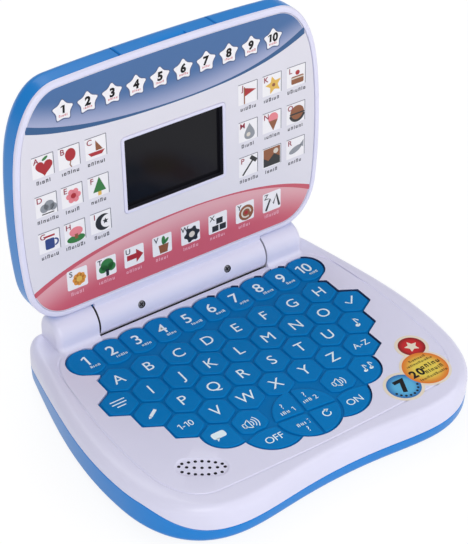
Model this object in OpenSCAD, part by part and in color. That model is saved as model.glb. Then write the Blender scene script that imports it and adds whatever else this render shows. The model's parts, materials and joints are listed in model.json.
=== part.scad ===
// Toy laptop computer: a clamshell of four moulded shells on one long hinge.
// Origin: middle of the whole footprint with the lid open, on the surface that the feet stand on.
// +X is to the typist's right, +Y runs from the front edge to the hinge, +Z is up.
// The lid is modelled flat in its own frame and then turned up about the hinge axis.

/* [Base housing] */
// Greatest width of the base
base_w = 221; // [212:1:235]
// Depth of the base from its front corners to its back wall
base_d = 174.5; // [170:0.5:186]
// Height of the base housing without its feet
base_h = 24.5; // [24:0.5:30]
// How far the middle of the front edge is set back from the front corners
front_dip = 3.6; // [0:0.2:5]
// Wall thickness of the four housing shells
wall = 2.2; // [1.8:0.1:2.5]
// Depth of the seam below the deck along the front and back
seam_front = 15.7; // [12:0.1:16]
// Depth of the seam below the deck along the sides
seam_side = 7.3; // [6:0.1:10]
// Height of the rounded shoulder round the deck
shoulder_h = 6.6; // [4:0.1:7]
// Width of the shoulder along the front and back
shoulder_front = 4.2; // [3:0.1:6]
// Width of the shoulder along the sides
shoulder_side = 10.8; // [7:0.1:11]
// How far the rubber feet hold the housing off the table
foot_h = 1.2; // [0.8:0.1:3]
// Radius of a rubber foot
foot_r = 6; // [4:0.5:7]
// Visible line between an upper and a lower shell
seam_gap = 0.2; // [0.1:0.05:0.3]

/* [Keyboard] */
// Distance between the middles of neighbouring keys
key_pitch = 19.6; // [18.4:0.1:19.8]
// Width of the groove between two raised keys
key_groove = 1.4; // [0.8:0.1:2.4]
// Height of a raised key above the sheet
key_rise = 0.9; // [0.5:0.1:1]
// Gap between the sheet and its cut-out
key_gap = 0.5; // [0.3:0.1:0.8]
// Width of the flange that holds the sheet under the deck
key_flange = 1.5; // [1:0.1:2]
// Thickness of the key sheet's flange
flange_t = 1; // [0.8:0.1:1.2]
// Thickness of the rubber contact mat
mat_t = 1.2; // [0.8:0.1:1.4]

/* [Hinge] */
// Distance from the hinge axis to the base's back wall
hinge_inset = 12.6; // [12:0.1:15]
// Height of the hinge axis above the deck
hinge_rise = 6; // [5.6:0.1:7]
// Radius of the barrel and of the blocks beside it
barrel_r = 11.2; // [10.5:0.1:11.4]
// Half the length of the lid's barrel
barrel_half = 57; // [50:0.5:60]
// Distance from the middle to the outer end of a hinge block
block_end = 84; // [80:0.5:85]
// Gap between the barrel and the base that it turns in
barrel_gap = 0.6; // [0.4:0.1:0.8]
// Gap between the barrel's end and a hinge block
end_gap = 0.8; // [0.5:0.1:1]
// Radius of a hinge pin
pin_r = 1.6; // [1.2:0.1:2]
// Radial running clearance of a hinge pin in its bush
pin_clear = 0.05; // [0.02:0.01:0.1]
// How far the open lid leans back from upright
lid_lean = 2.6; // [0:0.1:20]

/* [Lid] */
// Thickness of the closed lid
lid_t = 18.6; // [17:0.1:22]
// How far the lid's sides are set in from the base's sides
lid_inset = 10.9; // [9:0.1:16]
// How far the closed lid's front edge is set back from the base's front corners
lid_setback = 3.4; // [2:0.1:6]
// Gap between the closed lid's rim and the deck
lid_gap = 0.5; // [0.4:0.1:1]
// Depth of the white front frame at the lid's edge
frame_edge = 3; // [2.5:0.1:4]
// Width of the raised rim round the faceplate
rim_w = 4.4; // [3.5:0.1:6]
// Thickness of the printed faceplate
faceplate_t = 0.6; // [0.4:0.1:0.8]

/* [Display] */
// Visible width of the display window
window_w = 63.5; // [56:0.5:68]
// Visible height of the display window
window_h = 44; // [38:0.5:46]
// Distance from the hinge axis to the middle of the window
window_v = 86.4; // [82:0.2:92]
// Width of the raised frame round the window
bezel_w = 2; // [1.5:0.1:3]

/* [Speaker and batteries] */
// Outer diameter of the loudspeaker
speaker_d = 27; // [24:0.5:27]
// Radius of a hole in the speaker grille
grille_hole_r = 0.85; // [0.6:0.05:1]
// Diameter of one AA cell
cell_d = 14.5; // [13.5:0.1:14.5]
// Length of one AA cell
cell_l = 50.5; // [44:0.5:50.5]

/* [Hidden] */

$fn = 48;
eps = 0.01;
white = [0.87, 0.86, 0.91];
blue = [0.26, 0.56, 0.86];
key_blue = [0.02, 0.42, 0.72];

// Levels of the base, from the table up
deck_z = foot_h + base_h;
ceiling_z = deck_z - wall;
flange_z = ceiling_z - flange_t;
mat_z = flange_z - mat_t;
board_t = 1.6;
board_z = mat_z - board_t;

// Levels of the lid, measured from the hinge axis
rim_face = hinge_rise - lid_gap;
plate_face = rim_face - 0.6;
recess_face = plate_face - faceplate_t;
frame_back = recess_face - 2.3;
lid_seam = rim_face - frame_edge;
lid_back = rim_face - lid_t;
lid_bottom = barrel_r + 0.6;
lid_top = base_d - hinge_inset - lid_setback;
back_round = 8.6;

// The origin is the middle of the whole footprint, and the open lid reaches back past the base
lid_overhang = (lid_top - back_round) * sin(lid_lean) - lid_back * cos(lid_lean) - hinge_inset;

// Ends of the base and of the flat deck inside its groove
half_w = base_w / 2;
front_y = -(base_d + lid_overhang) / 2;
back_y = front_y + base_d;
deck_half = half_w - 11.8;
deck_front = front_y + 11;
deck_back = back_y - 23.2;

hinge_y = back_y - hinge_inset;
hinge_z = deck_z + hinge_rise;
trough_r = barrel_r + barrel_gap;
block_start = barrel_half + end_gap;
lid_half = half_w - lid_inset;

// ---- Curves and lofts ----

function bez(c, t) = c[0] * pow(1 - t, 3) + 3 * c[1] * t * pow(1 - t, 2)
    + 3 * c[2] * t * t * (1 - t) + c[3] * t * t * t;

function mix(a, b, k) = a + (b - a) * k;

function smooth(u) = let (v = min(1, max(0, u))) v * v * (3 - 2 * v);

// Closed outline from the curves of its right half, front middle to back middle
function outline(curves, steps) =
    let (half = [for (k = [0:len(curves) - 1], i = [0:steps[k] - 1]) bez(curves[k], i / steps[k])],
        last = len(half) - 1)
    concat(half, [curves[len(curves) - 1][3]], [for (i = [last:-1:1]) [-half[i].x, half[i].y]]);

// Inward normal of an outline at point i
function inward(pts, i) =
    let (n = len(pts), t = pts[(i + 1) % n] - pts[(i + n - 1) % n])
    [-t.y, t.x] / norm(t);

function inset(pts, d) = [for (i = [0:len(pts) - 1]) pts[i] + inward(pts, i) * d];

// A ring of 3-D points from an outline at one height
function ring(pts, z) = [for (p = pts) [p.x, p.y, z]];

// Closed solid through rings of equal length, with a flat face on the first and the last
module loft(rings) {
    n = len(rings[0]);
    m = len(rings);
    sides = [for (k = [0:m - 2], i = [0:n - 1]) let (j = (i + 1) % n, a = k * n, b = a + n)
        each [[a + i, b + i, b + j], [a + i, b + j, a + j]]];
    polyhedron(points = [for (r = rings) each r],
        faces = concat([[for (i = [0:n - 1]) i]], sides, [[for (i = [n - 1:-1:0]) (m - 1) * n + i]]));
}

// Tube or rod along X
module rod_x(x0, x1, r) translate([x0, 0, 0]) rotate([0, 90, 0]) cylinder(r = r, h = x1 - x0);

module tube(r_out, r_in, h) difference() {
    cylinder(r = r_out, h = h);
    translate([0, 0, -1]) cylinder(r = r_in, h = h + 2);
}

module at_hinge() translate([0, hinge_y, hinge_z]) children();

// The lid's frame: x along the hinge, y from the hinge to the lid's free edge,
// z out of the lid's face. Turned up here into the open pose.
module at_lid() at_hinge() rotate([90 - lid_lean, 0, 0]) children();

module both_sides() for (side = [0, 1]) mirror([side, 0, 0]) children();

// ---- Outlines of the base ----

// Right half of the base's wall: waved front edge, corner, bowed side, back corner
wall_curves =
    let (dip = front_y + front_dip, corner_x = half_w - 51.5, side = [half_w - 1.1, front_y + 50.5],
        tail = [half_w - 14, back_y - 14.5], back_x = half_w - 26.5)
    [[[0, dip], [28, dip], [corner_x - 16, front_y], [corner_x, front_y]],
     [[corner_x, front_y], [corner_x + 31, front_y], side - [3.1, 31], side],
     [side, side + [4.2, 38], tail + [9.1, -37], tail],
     [tail, tail + [-1.7, 6.8], [back_x + 7, back_y], [back_x, back_y]],
     [[back_x, back_y], [back_x * 2 / 3, back_y], [back_x / 3, back_y], [0, back_y]]];

// Right half of the groove that frames the deck
deck_curves =
    let (corner = [deck_half - 28, deck_front + 1.8], side = [deck_half - 3.5, deck_front + 26],
        tail = [deck_half - 3.2, deck_back - 27], back_x = deck_half - 22.5)
    [[[0, deck_front], [28, deck_front], corner - [16, 0.6], corner],
     [corner, corner + [15, 0.8], side - [3.5, 12], side],
     [side, side + [5, 26], tail + [2.6, -28], tail],
     [tail, tail + [-1.6, 15], [back_x + 12, deck_back], [back_x, deck_back]],
     [[back_x, deck_back], [back_x * 2 / 3, deck_back], [back_x / 3, deck_back], [0, deck_back]]];

base_steps = [7, 11, 9, 6, 3];
base_wall = outline(wall_curves, base_steps);
deck_line = outline(deck_curves, base_steps);

// 1 along the sides, falling to 0 at the front and towards the back
function rise(y) = smooth((y - front_y) / 36) * (1 - smooth((y - back_y + 69) / 85));
function seam_z(y) = deck_z - mix(seam_front, seam_side, rise(y));
shoulder_line = [for (i = [0:len(base_wall) - 1]) base_wall[i]
    + inward(base_wall, i) * mix(shoulder_front, shoulder_side, rise(base_wall[i].y))];

// A ring part of the way up a rounded shoulder, from the wall (0) to the top (90)
function shoulder_ring(from, to, z0, h, a) = [for (i = [0:len(from) - 1])
    let (p = mix(to[i], from[i], pow(cos(a), 0.9))) [p.x, p.y, z0 + h * pow(sin(a), 0.9)]];
// A ring that follows the seam at a distance in from the wall and a height from the seam
function seam_ring(d, dz) = let (pts = inset(base_wall, d))
    [for (i = [0:len(pts) - 1]) [pts[i].x, pts[i].y, seam_z(base_wall[i].y) + dz]];
// The groove fades out where it meets the hinge blocks
function groove_ring(d, depth) = let (pts = inset(deck_line, d))
    [for (p = pts) [p.x, p.y, deck_z - depth * (1 - smooth((p.y - deck_back + 8) / 6))]];

// ---- Keyboard layout, in units of the key pitch from the middle of the first letter row ----

row_step = sqrt(3) / 2;
key_mid_y = (deck_front + deck_back) / 2;
key_y0 = key_mid_y + 1.71 * key_pitch;
disc_step = 0.852;
disc_r = 0.585;
// First x and number of keys in each hexagonal row
hex_rows = [[-3.5, 8], [-4, 9], [-3.5, 8], [-3, 7], [-1.5, 1], [1.5, 1]];
hex_row_y = [0, -1, -2, -3, -4, -4];
hex_keys = [for (r = [0:len(hex_rows) - 1], i = [0:hex_rows[r][1] - 1])
    [hex_rows[r][0] + i, hex_row_y[r] * row_step]];
disc_keys = [for (i = [0:9]) [(i - 4.5) * disc_step, 1.12]];
quiz_mid = [0, -4];
quiz_r = 0.98;
// A power key lies where its own circle and a wider one in front of it overlap
power_keys = [[-1.13, -3.9], [1.13, -3.9]];
power_r = 0.94;
power_tops = [[-1.45, -5.2], [1.45, -5.2]];
power_top_r = 1.3;
end_keys = [[-2.25, -3.35], [2.25, -3.35]];
end_r = 0.71;

module hexagon(r) rotate(30) circle(r = r, $fn = 6);
module at_key(k) translate([k.x * key_pitch, key_y0 + k.y * key_pitch]) children();

// Outline of the whole key field, grown by g
module key_field(g) {
    for (k = hex_keys) at_key(k) hexagon(key_pitch / sqrt(3) + g * 2 / sqrt(3));
    for (k = disc_keys) at_key(k) circle(r = disc_r * key_pitch + g, $fn = 32);
    for (k = power_keys) at_key(k) circle(r = power_r * key_pitch + g);
    for (k = end_keys) at_key(k) circle(r = end_r * key_pitch + g);
    at_key(quiz_mid) circle(r = quiz_r * key_pitch + g);
    // Plain sheet between the number keys and the letters, and over the round key
    at_key([0, 0.6]) square([7.2 * key_pitch + 2 * g, key_pitch], center = true);
    front_sheet(g);
}

module front_sheet(g) at_key([0, -3.5])
    square([4 * key_pitch + 2 * g, 1.4 * key_pitch], center = true);

// ---- Speaker, bosses and boards ----

speaker_at = [-(deck_half - 29), deck_front + 21.7];
speaker_r = speaker_d / 2;
speaker_turn = 34;
dish_half = 14;
dish_r = 6.6;
dish_depth = 0.8;
// Three bowed rows of grille holes: number of holes, sideways step, distance from the middle
grille_rows = [[8, 3.0, 3.4], [7, 3.2, 0], [7, 2.9, -3.4]];
grille_bow = 0.018;
speaker_screw_r = speaker_r + 2.6;
// Radius round the loudspeaker that the board, the mat and the key sheet's flange stay out of
speaker_room = speaker_screw_r + 3.4;

boss_at = [[half_w - 20, back_y - 44], [half_w - 10.5, front_y + 65.3], [46, front_y + 12.5]];
boss_r = 3.6;
boss_z = 9;
pilot_r = 1.25;
screw_r = 1.2;
head_r = 2.8;
head_h = 1.8;
head_z = foot_h + 4;

board_half = deck_half - 6.7;
board_front = deck_front + 3.7;
board_back = deck_back - 2.9;
board_hole_at = [[board_half - 4.5, key_mid_y + 39], [board_half - 4.5, key_mid_y - 14.5],
    [board_half / 2, board_front + 6.3]];

// ---- Battery bay: three cells side by side, lying along X ----

cell_r = cell_d / 2;
cell_step = cell_d + 0.5;
cell_count = 3;
spring_l = 5.4;
plate_t = 0.4;
cover_t = 1.8;
bay_mid_y = front_y + 79.3;
bay_half_x = (cell_l + spring_l + 2 * plate_t + 1.2) / 2 + 0.4;
bay_half_y = cell_count * cell_step / 2 + 0.4;
bay_wall = 1.6;
cell_z = foot_h + cover_t + 0.1 + cell_r;
bay_top = cell_z + cell_r + 0.2;
cell_x0 = -bay_half_x + plate_t + 0.1;
// Screw at the middle of the battery cover's front edge
cover_screw_y = bay_mid_y - bay_half_y - 4.4;

module at_bay() translate([0, bay_mid_y, 0]) children();

// ---- Base, white upper half ----

// Rings from the inside of the ceiling, down to the seam, out, and up over the shoulder
module cover_shell() {
    inner_wall = inset(base_wall, wall);
    inner_top = inset(shoulder_line, 0.6);
    z0 = deck_z - shoulder_h;
    loft(concat(
        [for (a = [90, 60, 30, 0]) shoulder_ring(inner_wall, inner_top, z0, shoulder_h - wall, a)],
        [seam_ring(wall, seam_gap), seam_ring(0, seam_gap)],
        [for (a = [0, 14, 30, 46, 62, 77, 90]) shoulder_ring(base_wall, shoulder_line, z0, shoulder_h, a)],
        [groove_ring(0, 0), groove_ring(0.5, 0.5), groove_ring(1.1, 0.5), groove_ring(1.6, 0)]));
}

// Side view of a hinge block, y towards the back: a barrel on a foot with a hollow fillet
module block_profile(r) {
    fillet = 3.2;
    circle(r = r);
    translate([-r, -hinge_rise - 1.5]) square([2 * r, hinge_rise + 1.5]);
    if (r == barrel_r) difference() {
        translate([-r - fillet, -hinge_rise - 1.5]) square([fillet + 1, fillet + 1.5]);
        translate([-r - fillet, -hinge_rise + fillet]) circle(r = fillet);
    }
}

// Extrudes a side view, drawn as [y, z] from the hinge axis, along X
module along_x(x0, x1) translate([x0, 0, 0]) rotate([90, 0, 90]) linear_extrude(x1 - x0) children();

// A hinge block with a rounded outer end
module hinge_block() {
    round_r = 4;
    at_hinge() {
        along_x(block_start, block_end - round_r) block_profile(barrel_r);
        rotate([0, 90, 0]) rotate_extrude() {
            square([barrel_r - round_r, block_end]);
            translate([0, block_start]) square([barrel_r, block_end - round_r - block_start]);
            translate([barrel_r - round_r, block_end - round_r]) circle(r = round_r, $fn = 32);
        }
        translate([0, 0, -hinge_rise - 1.5]) linear_extrude(hinge_rise + 1.5) {
            translate([block_start, -barrel_r]) square([block_end - round_r - block_start, 2 * barrel_r]);
            for (y = [-1, 1]) translate([block_end - round_r, y * (barrel_r - round_r)])
                circle(r = round_r, $fn = 32);
            translate([block_end - round_r, round_r - barrel_r])
                square([round_r, 2 * (barrel_r - round_r)]);
        }
    }
}

bush_len = 12;
bush_r = pin_r + 1.6;

// Half-tube under the barrel, with a wall at each end
module trough() at_hinge() difference() {
    rod_x(-block_start - wall, block_start + wall, trough_r + wall);
    translate([-base_w / 2, -base_d / 2, -hinge_rise - 0.3]) cube([base_w, base_d, base_d]);
    translate([-base_w / 2, hinge_inset - wall, -base_h]) cube([base_w, base_d, base_h]);
}

module grille_cuts() translate([speaker_at.x, speaker_at.y, 0]) rotate(-speaker_turn) {
    translate([0, 0, deck_z - dish_depth]) hull() for (x = [-1, 1])
        translate([x * (dish_half - dish_r), 0, 0]) cylinder(r = dish_r, h = 2, $fn = 32);
    for (row = grille_rows, i = [0:row[0] - 1]) let (x = (i - (row[0] - 1) / 2) * row[1])
        translate([x, row[2] + 1.2 - grille_bow * x * x, ceiling_z - 1])
            cylinder(r = grille_hole_r, h = wall + 2, $fn = 16);
}

module base_top_cover() color(white) difference() {
    union() {
        difference() {
            union() {
                cover_shell();
                trough();
                both_sides() hinge_block();
            }
            // Room for the lid's barrel
            at_hinge() rod_x(-block_start, block_start, trough_r);
            // Hollow inside of each hinge block, open to the inside of the base
            both_sides() at_hinge() {
                rod_x(block_start + wall, block_end - wall, barrel_r - wall);
                translate([block_start + wall, wall - barrel_r, -hinge_rise - wall - 0.5])
                    cube([block_end - block_start - 2 * wall, 2 * (barrel_r - wall),
                        hinge_rise + wall + 0.5]);
            }
            grille_cuts();
        }
        // Boss for each hinge bush
        both_sides() at_hinge() rod_x(block_start, block_start + bush_len, bush_r + 2);
        // Screw bosses for the bottom shell, the board and the loudspeaker
        both_sides() for (b = boss_at) translate([b.x, b.y, boss_z])
            cylinder(r = boss_r, h = ceiling_z - boss_z + 0.5);
        both_sides() for (b = board_hole_at) translate([b.x, b.y, mat_z])
            cylinder(r = 2.8, h = ceiling_z - mat_z + 0.5);
        translate([speaker_at.x, speaker_at.y, 0]) {
            for (s = [-1, 1]) translate([0, s * speaker_screw_r, ceiling_z - 0.8])
                cylinder(r = 2.5, h = 1.3);
            translate([0, 0, ceiling_z - 0.8]) difference() {
                cylinder(r = speaker_r + 1.4, h = 1.3);
                translate([0, 0, -1]) cylinder(r = speaker_r + 0.2, h = 1.8);
            }
        }
    }
    // The key sheet's cut-out leaves the loudspeaker's ring under it
    translate([0, 0, ceiling_z - 2 * eps]) linear_extrude(wall + 6) key_field(key_gap);
    both_sides() at_hinge() rod_x(block_start - 1, block_start + bush_len + 1, bush_r);
    both_sides() for (b = boss_at) translate([b.x, b.y, boss_z - 1]) cylinder(r = pilot_r, h = 9);
    both_sides() for (b = board_hole_at) translate([b.x, b.y, mat_z - 1])
        cylinder(r = 0.9, h = flange_t + mat_t + 2);
    translate([speaker_at.x, speaker_at.y, ceiling_z - 2])
        for (s = [-1, 1]) translate([0, s * speaker_screw_r, 0]) cylinder(r = 0.9, h = 3);
}

// ---- Base, blue lower half ----

// Rings from the underside, up the outside to the seam, over the lip and down to the floor
module tray_shell() {
    lip = wall + 1;
    loft([ring(inset(base_wall, 3.8), foot_h), ring(inset(base_wall, 1.6), foot_h + 0.9),
        ring(inset(base_wall, 0.5), foot_h + 3.2), seam_ring(0, 0),
        seam_ring(lip, 0), seam_ring(lip, 2), seam_ring(lip + 1, 2), seam_ring(lip + 1, -3.2),
        seam_ring(wall, -4.2), ring(inset(base_wall, wall), foot_h + wall + 2),
        ring(inset(base_wall, wall + 2.6), foot_h + wall)]);
}

foot_at = [[half_w - 24, front_y + 22], [half_w - 22, back_y - 20]];
foot_seat = 0.8;

module base_bottom_shell() color(blue) difference() {
    union() {
        tray_shell();
        // Walls and roof of the battery bay
        at_bay() translate([-bay_half_x - bay_wall, -bay_half_y - bay_wall, foot_h])
            cube([2 * (bay_half_x + bay_wall), 2 * (bay_half_y + bay_wall),
                bay_top + bay_wall - foot_h - 0.4]);
        translate([-6, cover_screw_y - 5, foot_h]) cube([12, 10, 9]);
        both_sides() for (b = boss_at) translate([b.x, b.y, foot_h])
            cylinder(r = boss_r + 0.6, h = boss_z - foot_h);
    }
    // Inside of the bay, between its ribs, and the seat of its cover
    at_bay() difference() {
        translate([-bay_half_x, -bay_half_y, -1]) cube([2 * bay_half_x, 2 * bay_half_y, bay_top + 1]);
        for (i = [1:cell_count - 1]) translate([-bay_half_x, 0.2 - bay_half_y + i * cell_step, bay_top - 3])
            cube([2 * bay_half_x, 0.4, 4]);
    }
    at_bay() translate([-bay_half_x - 1, -bay_half_y - 1, -1])
        cube([2 * bay_half_x + 2, 2 * bay_half_y + 2, foot_h + cover_t + 1.1]);
    translate([-5.3, cover_screw_y - 4.3, -1]) cube([10.6, 10, foot_h + cover_t + 1.1]);
    translate([0, cover_screw_y, 0]) cylinder(r = pilot_r, h = foot_h + 8);
    // Slots for the cover's two tabs
    both_sides() at_bay() translate([bay_half_x - 14.2, bay_half_y, foot_h + cover_t - 0.1])
        cube([8.4, bay_wall + 1, 1.9]);
    both_sides() for (b = boss_at) translate([b.x, b.y, 0]) {
        cylinder(r = head_r + 0.3, h = head_z);
        cylinder(r = screw_r + 0.3, h = boss_z + 1);
    }
    both_sides() for (f = foot_at) translate([f.x, f.y, 0]) cylinder(r = foot_r, h = foot_h + foot_seat);
}

module rubber_feet() color([0.12, 0.12, 0.13])
    both_sides() for (f = foot_at) translate([f.x, f.y, 0])
        cylinder(r = foot_r, h = foot_h + foot_seat);

// ---- Keyboard stack ----

// One flexible moulding: a flange under the deck, the sheet in the cut-out, raised keys
module key_sheet() color(key_blue) {
    sheet_top = deck_z - key_rise - 0.1;
    difference() {
        translate([0, 0, flange_z]) linear_extrude(flange_t) key_field(key_gap + key_flange);
        translate([speaker_at.x, speaker_at.y, 0]) cylinder(r = speaker_room, h = deck_z);
    }
    translate([0, 0, ceiling_z - eps]) linear_extrude(sheet_top - ceiling_z + eps) key_field(0);
    translate([0, 0, sheet_top - eps]) linear_extrude(key_rise + eps) key_tops();
}

// Raised faces of the keys, with the grooves left between them
module key_tops() {
    g = key_groove / 2;
    disc_width = disc_step * key_pitch;
    difference() {
        for (k = hex_keys) at_key(k) hexagon(key_pitch / sqrt(3) - g * 2 / sqrt(3));
        for (k = power_tops) at_key(k) circle(r = power_top_r * key_pitch + g);
        at_key(quiz_mid) circle(r = quiz_r * key_pitch + g);
    }
    for (k = end_keys) difference() {
        at_key(k) circle(r = end_r * key_pitch - g);
        for (h = hex_keys) at_key(h) hexagon(key_pitch / sqrt(3) + g * 2 / sqrt(3));
        front_sheet(g);
    }
    // Straight grooves between the number keys, the two outer ones keep their round side
    for (k = disc_keys) difference() {
        at_key(k) circle(r = disc_r * key_pitch - g, $fn = 32);
        for (h = hex_keys) at_key(h) hexagon(key_pitch / sqrt(3) + g * 2 / sqrt(3));
        for (s = [-1, 1]) if (abs(k.x + s * disc_step) < 5 * disc_step)
            at_key(k) translate([s * (disc_width - g), 0]) square([disc_width, 2 * key_pitch], center = true);
    }
    for (i = [0, 1]) difference() {
        intersection() {
            at_key(power_keys[i]) circle(r = power_r * key_pitch - g);
            at_key(power_tops[i]) circle(r = power_top_r * key_pitch - g);
        }
        at_key(quiz_mid) circle(r = quiz_r * key_pitch + g);
    }
    // The round key is cut into quarters
    at_key(quiz_mid) difference() {
        circle(r = quiz_r * key_pitch - g);
        rotate(-6) square([2 * key_pitch, key_groove], center = true);
        rotate(-6) square([key_groove, 2 * key_pitch], center = true);
    }
}

// Rubber mat between the key sheet and the board
module contact_mat() color([0.55, 0.56, 0.58]) translate([0, 0, mat_z])
    linear_extrude(mat_t) difference() {
        key_field(key_gap);
        translate(speaker_at) circle(r = speaker_room);
    }

module board_outline() difference() {
    chamfer = 24;
    polygon([[-board_half, board_back], [-board_half, board_front + chamfer],
        [chamfer - board_half, board_front], [board_half - chamfer, board_front],
        [board_half, board_front + chamfer], [board_half, board_back]]);
    translate(speaker_at) circle(r = speaker_room);
    both_sides() for (b = boss_at) translate(b) circle(r = boss_r + 0.8);
}

module key_board() color([0.10, 0.36, 0.18]) {
    difference() {
        translate([0, 0, board_z]) linear_extrude(board_t) board_outline();
        both_sides() for (b = board_hole_at) translate([b.x, b.y, board_z - 1])
            cylinder(r = 1.3, h = board_t + 2);
    }
    // Moulded chip and a capacitor on the underside
    translate([56, key_mid_y + 30, board_z - 1.6]) cylinder(r = 8, h = 1.6 + eps);
    translate([56, key_mid_y - 20, board_z - 8]) cylinder(r = 3, h = 8 + eps);
}

module key_board_screws() color("silver")
    both_sides() for (b = board_hole_at) translate([b.x, b.y, board_z]) {
        translate([0, 0, -1.2]) cylinder(r = 2, h = 1.2);
        translate([0, 0, -eps]) cylinder(r = 0.88, h = board_t + 2.4);
    }

// ---- Loudspeaker ----

module at_speaker() translate([speaker_at.x, speaker_at.y, ceiling_z]) children();

// Pressed basket: flange with a ledge for the cone, sloping wall, flat back
module speaker_frame() color([0.62, 0.63, 0.66]) at_speaker() rotate_extrude()
    polygon([[speaker_r - 1.2, 0], [speaker_r, 0], [speaker_r, -0.8], [speaker_r - 0.8, -0.8],
        [speaker_r - 4.2, -5], [3, -5], [3, -4.4], [speaker_r - 4.6, -4.4], [speaker_r - 2.4, -1.4],
        [speaker_r - 2.4, -0.8], [speaker_r - 1.2, -0.8]]);

module speaker_cone() color([0.16, 0.15, 0.15]) at_speaker() rotate_extrude()
    polygon([[0, -1.6], [2.6, -2.2], [4.5, -3.6], [speaker_r - 3.2, -1], [speaker_r - 2.6, -0.4],
        [speaker_r - 1.4, -0.4], [speaker_r - 1.4, -0.8], [speaker_r - 2.5, -0.8],
        [speaker_r - 3.1, -1.4], [4.4, -4], [2.5, -2.6], [0, -2]]);

module speaker_magnet() color([0.35, 0.35, 0.38]) at_speaker() {
    translate([0, 0, -9]) cylinder(r = speaker_r - 5, h = 4);
    translate([0, 0, -9]) cylinder(r = 2.6, h = 4.6);
}

module speaker_screws() color("silver") at_speaker()
    for (s = [-1, 1]) translate([0, s * speaker_screw_r, 0]) {
        translate([0, 0, -2]) cylinder(r = 3, h = 1.2);
        translate([0, 0, -0.8 - eps]) cylinder(r = 0.88, h = 1.6);
    }

// ---- Batteries and their cover ----

module battery_cells() color([0.78, 0.62, 0.22]) at_bay()
    for (i = [0:cell_count - 1]) let (flip = i == 1 ? 1 : 0)
        translate([0, (i - (cell_count - 1) / 2) * cell_step, cell_z]) mirror([flip, 0, 0]) {
            rod_x(cell_x0 + 1, cell_x0 + cell_l, cell_r);
            rod_x(cell_x0, cell_x0 + 1 + eps, 2.75);
        }

// Spring steel plates in slots at both ends of the bay
module battery_plates() color([0.75, 0.75, 0.78]) at_bay()
    for (i = [0:cell_count - 1], end = [0, 1]) mirror([end, 0, 0])
        translate([-bay_half_x, (i - (cell_count - 1) / 2) * cell_step - 5, cell_z - 5])
            cube([plate_t, 10, 10]);

// One conical spring: a wire swept round a helix that widens towards the plate
module spring(r0, r1, len, wire, turns) {
    per_turn = 12;
    sides = 6;
    rings = [for (k = [0:turns * per_turn]) let (u = k / (turns * per_turn), a = u * turns * 360,
            r = mix(r0, r1, u), x = wire + u * (len - 2 * wire))
        [for (j = [0:sides - 1]) let (b = j * 360 / sides)
            [x + wire * sin(b), (r + wire * cos(b)) * cos(a), (r + wire * cos(b)) * sin(a)]]];
    loft(rings);
}

module battery_springs() color([0.8, 0.8, 0.82]) at_bay()
    for (i = [0:cell_count - 1]) let (flip = i == 1 ? 1 : 0)
        translate([0, (i - (cell_count - 1) / 2) * cell_step, cell_z]) mirror([flip, 0, 0])
            translate([cell_x0 + cell_l + 0.05, 0, 0])
                spring(2.6, 4.8, bay_half_x - plate_t - cell_x0 - cell_l - 0.1, 0.35, 4);

module battery_cover() color(blue) difference() {
    union() {
        at_bay() translate([-bay_half_x - 0.7, -bay_half_y - 0.7, foot_h])
            cube([2 * bay_half_x + 1.4, 2 * bay_half_y + 1.4, cover_t]);
        translate([-5, cover_screw_y - 4, foot_h]) cube([10, 8, cover_t]);
        both_sides() at_bay() translate([bay_half_x - 14, bay_half_y - 1, foot_h + cover_t - eps])
            cube([8, 2.2, 1.4]);
        // Stiffening rib on the inside, clear of the cells
        at_bay() translate([-20, -bay_half_y + 0.6, foot_h + cover_t - eps]) cube([40, 0.8, 1.2]);
    }
    translate([0, cover_screw_y, 0]) {
        cylinder(r = 1.6, h = 10);
        cylinder(r = 2.6, h = foot_h + 0.9);
    }
}

module battery_cover_screw() color("silver") translate([0, cover_screw_y, foot_h + 0.2]) {
    cylinder(r = 2.3, h = 0.7);
    cylinder(r = screw_r, h = 6.5);
}

module housing_screws() color("silver")
    both_sides() for (b = boss_at) translate([b.x, b.y, head_z]) {
        translate([0, 0, -head_h]) cylinder(r = head_r, h = head_h);
        translate([0, 0, -eps]) cylinder(r = screw_r, h = 11);
    }

// Die-cut sticker: three round fields that overlap, on one backing
badge_fields = [[half_w - 29.7, front_y + 45.8, 9.7], [half_w - 35.3, front_y + 27.5, 14.5],
    [half_w - 54.9, front_y + 22.3, 11.5]];
module badge_sticker() color([0.93, 0.88, 0.68]) translate([0, 0, deck_z])
    linear_extrude(0.12) for (b = badge_fields) translate([b[0], b[1]]) circle(r = b[2]);

// ---- Hinge ----

module hinge_bush(side) color([0.9, 0.9, 0.88]) at_hinge() mirror([side, 0, 0])
    translate([block_start, 0, 0]) rotate([0, 90, 0]) tube(bush_r, pin_r + pin_clear, bush_len);

module hinge_bush_left() hinge_bush(1);
module hinge_bush_right() hinge_bush(0);

// The pin is held by two webs in the barrel and turns in the bush
module hinge_pin(side) color([0.7, 0.7, 0.72]) at_lid() mirror([side, 0, 0])
    rod_x(barrel_half - 14, block_start + bush_len - 1, pin_r);

module hinge_pin_left() hinge_pin(1);
module hinge_pin_right() hinge_pin(0);

// ---- Lid ----

// Right half of the lid's edge: hinge side, corner, bowed side, corner, free edge
lid_curves =
    let (b = lid_bottom, t = lid_top, low = [lid_half - 2, b + 26], high = [lid_half - 3.1, t - 36.6])
    [[[0, b], [24, b], [lid_half - 51, b], [lid_half - 27.6, b]],
     [[lid_half - 27.6, b], [lid_half - 12.6, b], low - [1.8, 14], low],
     [low, low + [3, 24], high + [3.9, -22], high],
     [high, high + [-3.4, 18], [lid_half - 15.6, t - 2.8], [lid_half - 29.6, t - 1.8]],
     [[lid_half - 29.6, t - 1.8], [45, t - 0.3], [20, t], [0, t]]];
lid_edge = outline(lid_curves, [1, 8, 7, 8, 6]);

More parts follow.
